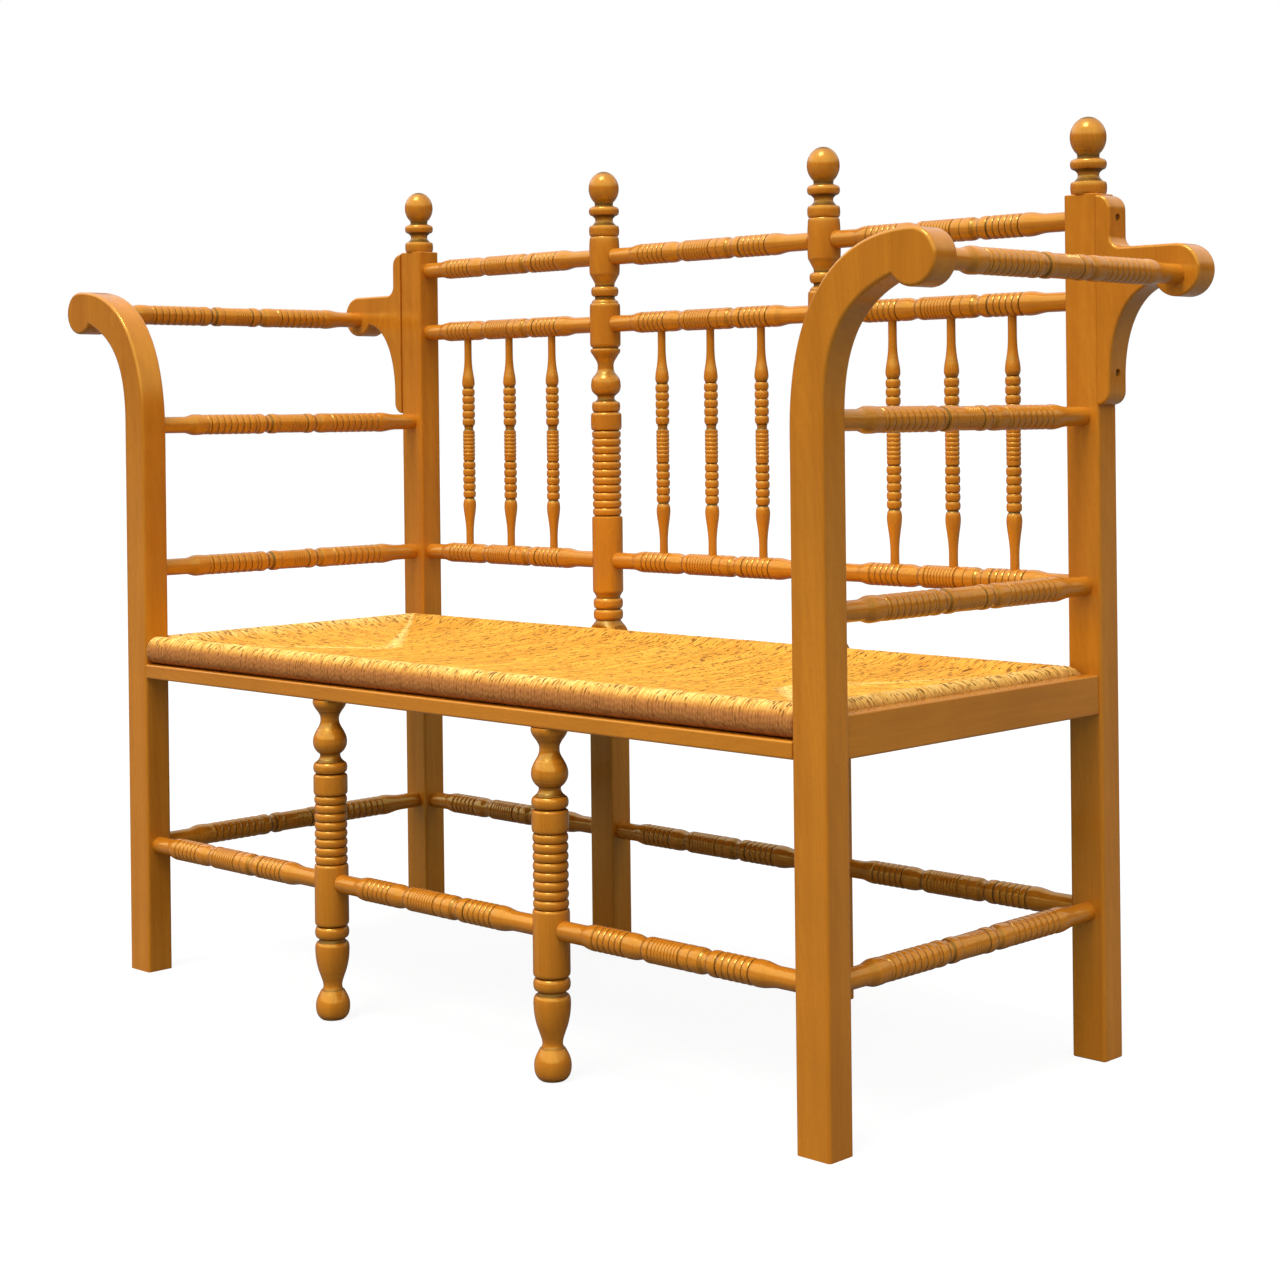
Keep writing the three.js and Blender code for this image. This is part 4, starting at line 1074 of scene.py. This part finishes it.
def make_rush():
    """Twisted, varnished rush, each strand with its own tone and fibres. Painted shade darkens short gaps
    beside the strands, the furrows of the twist and the roll fronts, and a painted highlight lies with the
    rubbing on the roll tops.
    """
    material, tree, shader = new_material("rush")
    place = add_node(tree, "ShaderNodeTexCoord").outputs["Object"]
    height = add_node(tree, "ShaderNodeSeparateXYZ", {"Vector": place}).outputs["Z"]
    rub_and_highlight = attribute(tree, "rub_and_highlight", "OBJECT")
    names = ("tone", "valley", "seam", "along", "across", "rise")
    tone, valley, seam, along, across, rise = (attribute(tree, name) for name in names)

    def product(first, second):
        return maths(tree, "MULTIPLY", first, second)

    def mark(name, value):
        return ramped(tree, value, *rush_marks[name])

    def strand_noise(per_metre, per_strand, detail, own=tone):
        """Noise laid out along the strands"""
        spot = {"X": product(along, per_metre), "Y": product(across, per_strand), "Z": own}
        vector = add_node(tree, "ShaderNodeCombineXYZ", spot).outputs[0]
        inputs = {"Vector": vector, "Scale": 1.0, "Detail": detail}
        return add_node(tree, "ShaderNodeTexNoise", inputs).outputs["Fac"]

    fibres = strand_noise(per_metre=45.0, per_strand=3.0, detail=2.0)
    dashes = strand_noise(per_metre=95.0, per_strand=1.0, detail=1.0)
    clefts = strand_noise(per_metre=48.0, per_strand=0.5, detail=1.0, own=0.0)
    cloudy = {"Vector": place, "Scale": 9.0, "Detail": 3.0}
    patches = add_node(tree, "ShaderNodeTexNoise", cloudy).outputs["Fac"]
    turns = maths(tree, "ADD", product(along, twist_phase), product(across, twist_lean))
    ridges = mark("ridges", maths(tree, "SINE", maths(tree, "ADD", turns, product(tone, twist_offset))))

    own_tone = maths(tree, "ADD", product(tone, own_tone_share), fibres)
    leaf = mixed(tree, mark("light leaf", own_tone), golden_rush, straw)
    aged = mixed(tree, mark("old patches", patches), leaf, golden_rush)
    # Painted shade on the faces of the rolls that turn away from above
    rolled = mixed(tree, mark("painted roll shade", rise), aged, shaded_rush)
    # Rubbed rush, with a painted highlight along the tops of the rolls
    on_roll = ramped(tree, height, rush_high.z - rub_highlight_start, rush_high.z - rub_highlight_full)
    rubbed_and_highlit = product(on_roll, product(rub_and_highlight, mark("rubbed and highlit fibres", fibres)))
    met = mixed(tree, maths(tree, "MAXIMUM", rubbed_and_highlit, product(seam, seam_paleness)), rolled, pale_rush)
    streaked = mixed(tree, mark("dark fibres", fibres), met, brown_fibre_and_shade)
    # Painted shade in the furrows of the twist
    twisted = mixed(tree, mark("painted furrow shade", ridges), streaked, brown_fibre_and_shade)
    # Painted shade in short gaps and clefts between the strands, on the upper faces
    gaps = product(mark("gap width", valley), mark("long gaps", dashes))
    gap_shade_on_top = product(gaps, mark("gaps on top", rise))
    cleft_shade_on_top = product(mark("clefts", clefts), mark("clefts on top", rise))
    bump = {"Strength": 0.5, "Distance": 0.5 * mm, "Height": ridges}
    finish = {
        "Base Color": mixed(tree, maths(tree, "MAXIMUM", gap_shade_on_top, cleft_shade_on_top), twisted, brown_fibre_and_shade),
        "Roughness": mark("dull fibres", fibres),
        "Normal": add_node(tree, "ShaderNodeBump", bump).outputs[0],
        "Specular IOR Level": 0.15,
        "Specular Tint": amber_sheen,
    }
    feed(tree, shader, finish)
    return material


rush = make_rush()
rear_reach = seat_half_width - corner_start
side_start, side_end = front_y + behind_posts, rear_y - corner_start
rush_zones = {
    "front": (-between_posts, between_posts, front_run, lambda s, inset, z: (s, front_y + inset, z)),
    "rear": (-rear_reach, rear_reach, rear_run, lambda s, inset, z: (s, rear_y - inset, z)),
    "left": (side_start, side_end, side_run, lambda s, inset, z: (inset - seat_half_width, s, z)),
    "right": (side_start, side_end, side_run, lambda s, inset, z: (seat_half_width - inset, s, z)),
}

for name, (start, end, run_at, place_at) in rush_zones.items():
    vertices, faces, numbers, marks = rush_zone(start, end, run_at, place_at)
    mesh = bpy.data.meshes.new(f"rush_{name}")
    mesh.from_pydata(vertices, [], faces)
    shape = bmesh.new()
    shape.from_mesh(mesh)
    bmesh.ops.recalc_face_normals(shape, faces=shape.faces)
    shape.to_mesh(mesh)
    shape.free()
    mesh.shade_smooth()
    mesh.set_sharp_from_angle(angle=crisp_rush_edge)
    tone_of = [strands.random() for _ in range(max(numbers) + 1)]
    mesh.attributes.new("tone", "FLOAT", "FACE").data.foreach_set("value", [tone_of[n] for n in numbers])
    axis = 0 if name in ("front", "rear") else 1
    marks["across"] = [vertex[axis] / strand_pitch for vertex in vertices]
    for mark, values in marks.items():
        mesh.attributes.new(mark, "FLOAT", "POINT").data.foreach_set("value", values)
    mesh.materials.append(rush)
    zone = bpy.data.objects.new(f"rush_{name}", mesh)
    zone["rub_and_highlight"] = rear_rub_and_highlight if name == "rear" else 1.0
    bpy.context.scene.collection.objects.link(zone)
    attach(zone, "root")
    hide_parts("rush_seat")


# Floor, light and camera
# A plain pale floor in a white studio, with one soft key light high in front and a wide lit ceiling that is
# dimmer towards the back. The camera stands where the photograph was taken.

floor_reach = 30
floor_gap = 0.2 * mm  # so that the feet and the floor don't share a plane
floor_pale = (0.12, 0.12, 0.12, 1)  # as it lights the settle from below
floor_shade = (0.1, 0.1, 0.1, 1)  # as it is seen: a lit table top, on which shadows stay pale
floor_glow = 0.9
white = (1, 1, 1, 1)


def seen_or_lit(tree, lit, seen):
    """One shader for the light that reaches the settle, and another for what the camera sees"""
    inputs = {"Fac": add_node(tree, "ShaderNodeLightPath").outputs["Is Camera Ray"], 1: lit, 2: seen}
    return add_node(tree, "ShaderNodeMixShader", inputs).outputs[0]


floor_shape = bmesh.new()
corners = [floor_shape.verts.new((x, y, 0)) for x, y in ((-1, -1), (1, -1), (1, 1), (-1, 1))]
floor_shape.faces.new(corners)
bmesh.ops.scale(floor_shape, vec=(floor_reach, floor_reach, 1), verts=floor_shape.verts)
floor_mesh = bpy.data.meshes.new("floor")
floor_shape.to_mesh(floor_mesh)
floor_shape.free()
floor_finish, floor_tree, lit_floor = new_material("pale_floor")
feed(floor_tree, lit_floor, {"Base Color": floor_pale, "Roughness": 0.9})
table_top = {
    "Base Color": floor_shade,
    "Roughness": 1.0,
    "Specular IOR Level": 0.0,
    "Emission Color": white,
    "Emission Strength": floor_glow,
}
seen_floor = add_node(floor_tree, "ShaderNodeBsdfPrincipled", table_top)
floor_surface = seen_or_lit(floor_tree, lit_floor.outputs[0], seen_floor.outputs[0])
feed(floor_tree, floor_tree.nodes["Material Output"], {"Surface": floor_surface})
floor_mesh.materials.append(floor_finish)
floor = bpy.data.objects.new("floor", floor_mesh)
floor.location.z = -floor_gap
bpy.context.scene.collection.objects.link(floor)

key_direction = (0.05, -0.42, 0.9)
key_spread = math.radians(22)
key_strength = 2.15
key_colour = (1.0, 0.97, 0.92)

key_lamp = bpy.data.lights.new("key", "SUN")
key_lamp.angle = key_spread
key_lamp.energy = key_strength
key_lamp.color = key_colour
key_light = bpy.data.objects.new("key", key_lamp)
key_light.rotation_euler = Vector(key_direction).to_track_quat("Z", "Y").to_euler()
bpy.context.scene.collection.objects.link(key_light)

wall_light = 0.18  # low round the room
ceiling_light = 1.8  # from a wide lit ceiling, which starts about 16 degrees up
ceiling_edge = (math.sin(math.radians(10)), math.sin(math.radians(22)))
rear_fade = (-0.2, 0.6)  # how far back the light starts to fade, and where it is dimmest
rear_share = 0.5  # of the light that is left there
backdrop_white = 1.0

studio = bpy.data.worlds.new("studio")
studio.use_nodes = True
room = studio.node_tree
direction = add_node(room, "ShaderNodeTexCoord").outputs["Generated"]
bearing = add_node(room, "ShaderNodeSeparateXYZ", {"Vector": direction}).outputs
brightness = ramped(
    room, bearing["Z"], *ceiling_edge, wall_light, ceiling_light, interpolation_type="SMOOTHSTEP"
)
towards_back = ramped(room, bearing["Y"], *rear_fade, 1.0, rear_share, interpolation_type="SMOOTHSTEP")
faded = maths(room, "MULTIPLY", brightness, towards_back)
lighting = add_node(room, "ShaderNodeBackground", {"Strength": faded, "Color": white})
backdrop = add_node(room, "ShaderNodeBackground", {"Strength": backdrop_white, "Color": white})
surroundings = seen_or_lit(room, lighting.outputs[0], backdrop.outputs[0])
feed(room, room.nodes["World Output"], {"Surface": surroundings})
bpy.context.scene.world = studio
bpy.context.scene.view_settings.view_transform = "Standard"

camera_place = (2.1346, -2.0672, 0.7576)
camera_bearing, camera_tilt, camera_roll = (math.radians(angle) for angle in (44.428, 90 - 0.19, -0.642))

lens = bpy.data.cameras.new("camera")
lens.sensor_width = 36
lens.lens = 65.708
lens.shift_y = -0.1719
lens.clip_end = 100
camera = bpy.data.objects.new("camera", lens)
camera.matrix_world = (
    Matrix.Translation(camera_place)
    @ Matrix.Rotation(camera_bearing, 4, "Z")
    @ Matrix.Rotation(camera_tilt, 4, "X")
    @ Matrix.Rotation(camera_roll, 4, "Z")
)
bpy.context.scene.collection.objects.link(camera)
bpy.context.scene.camera = camera
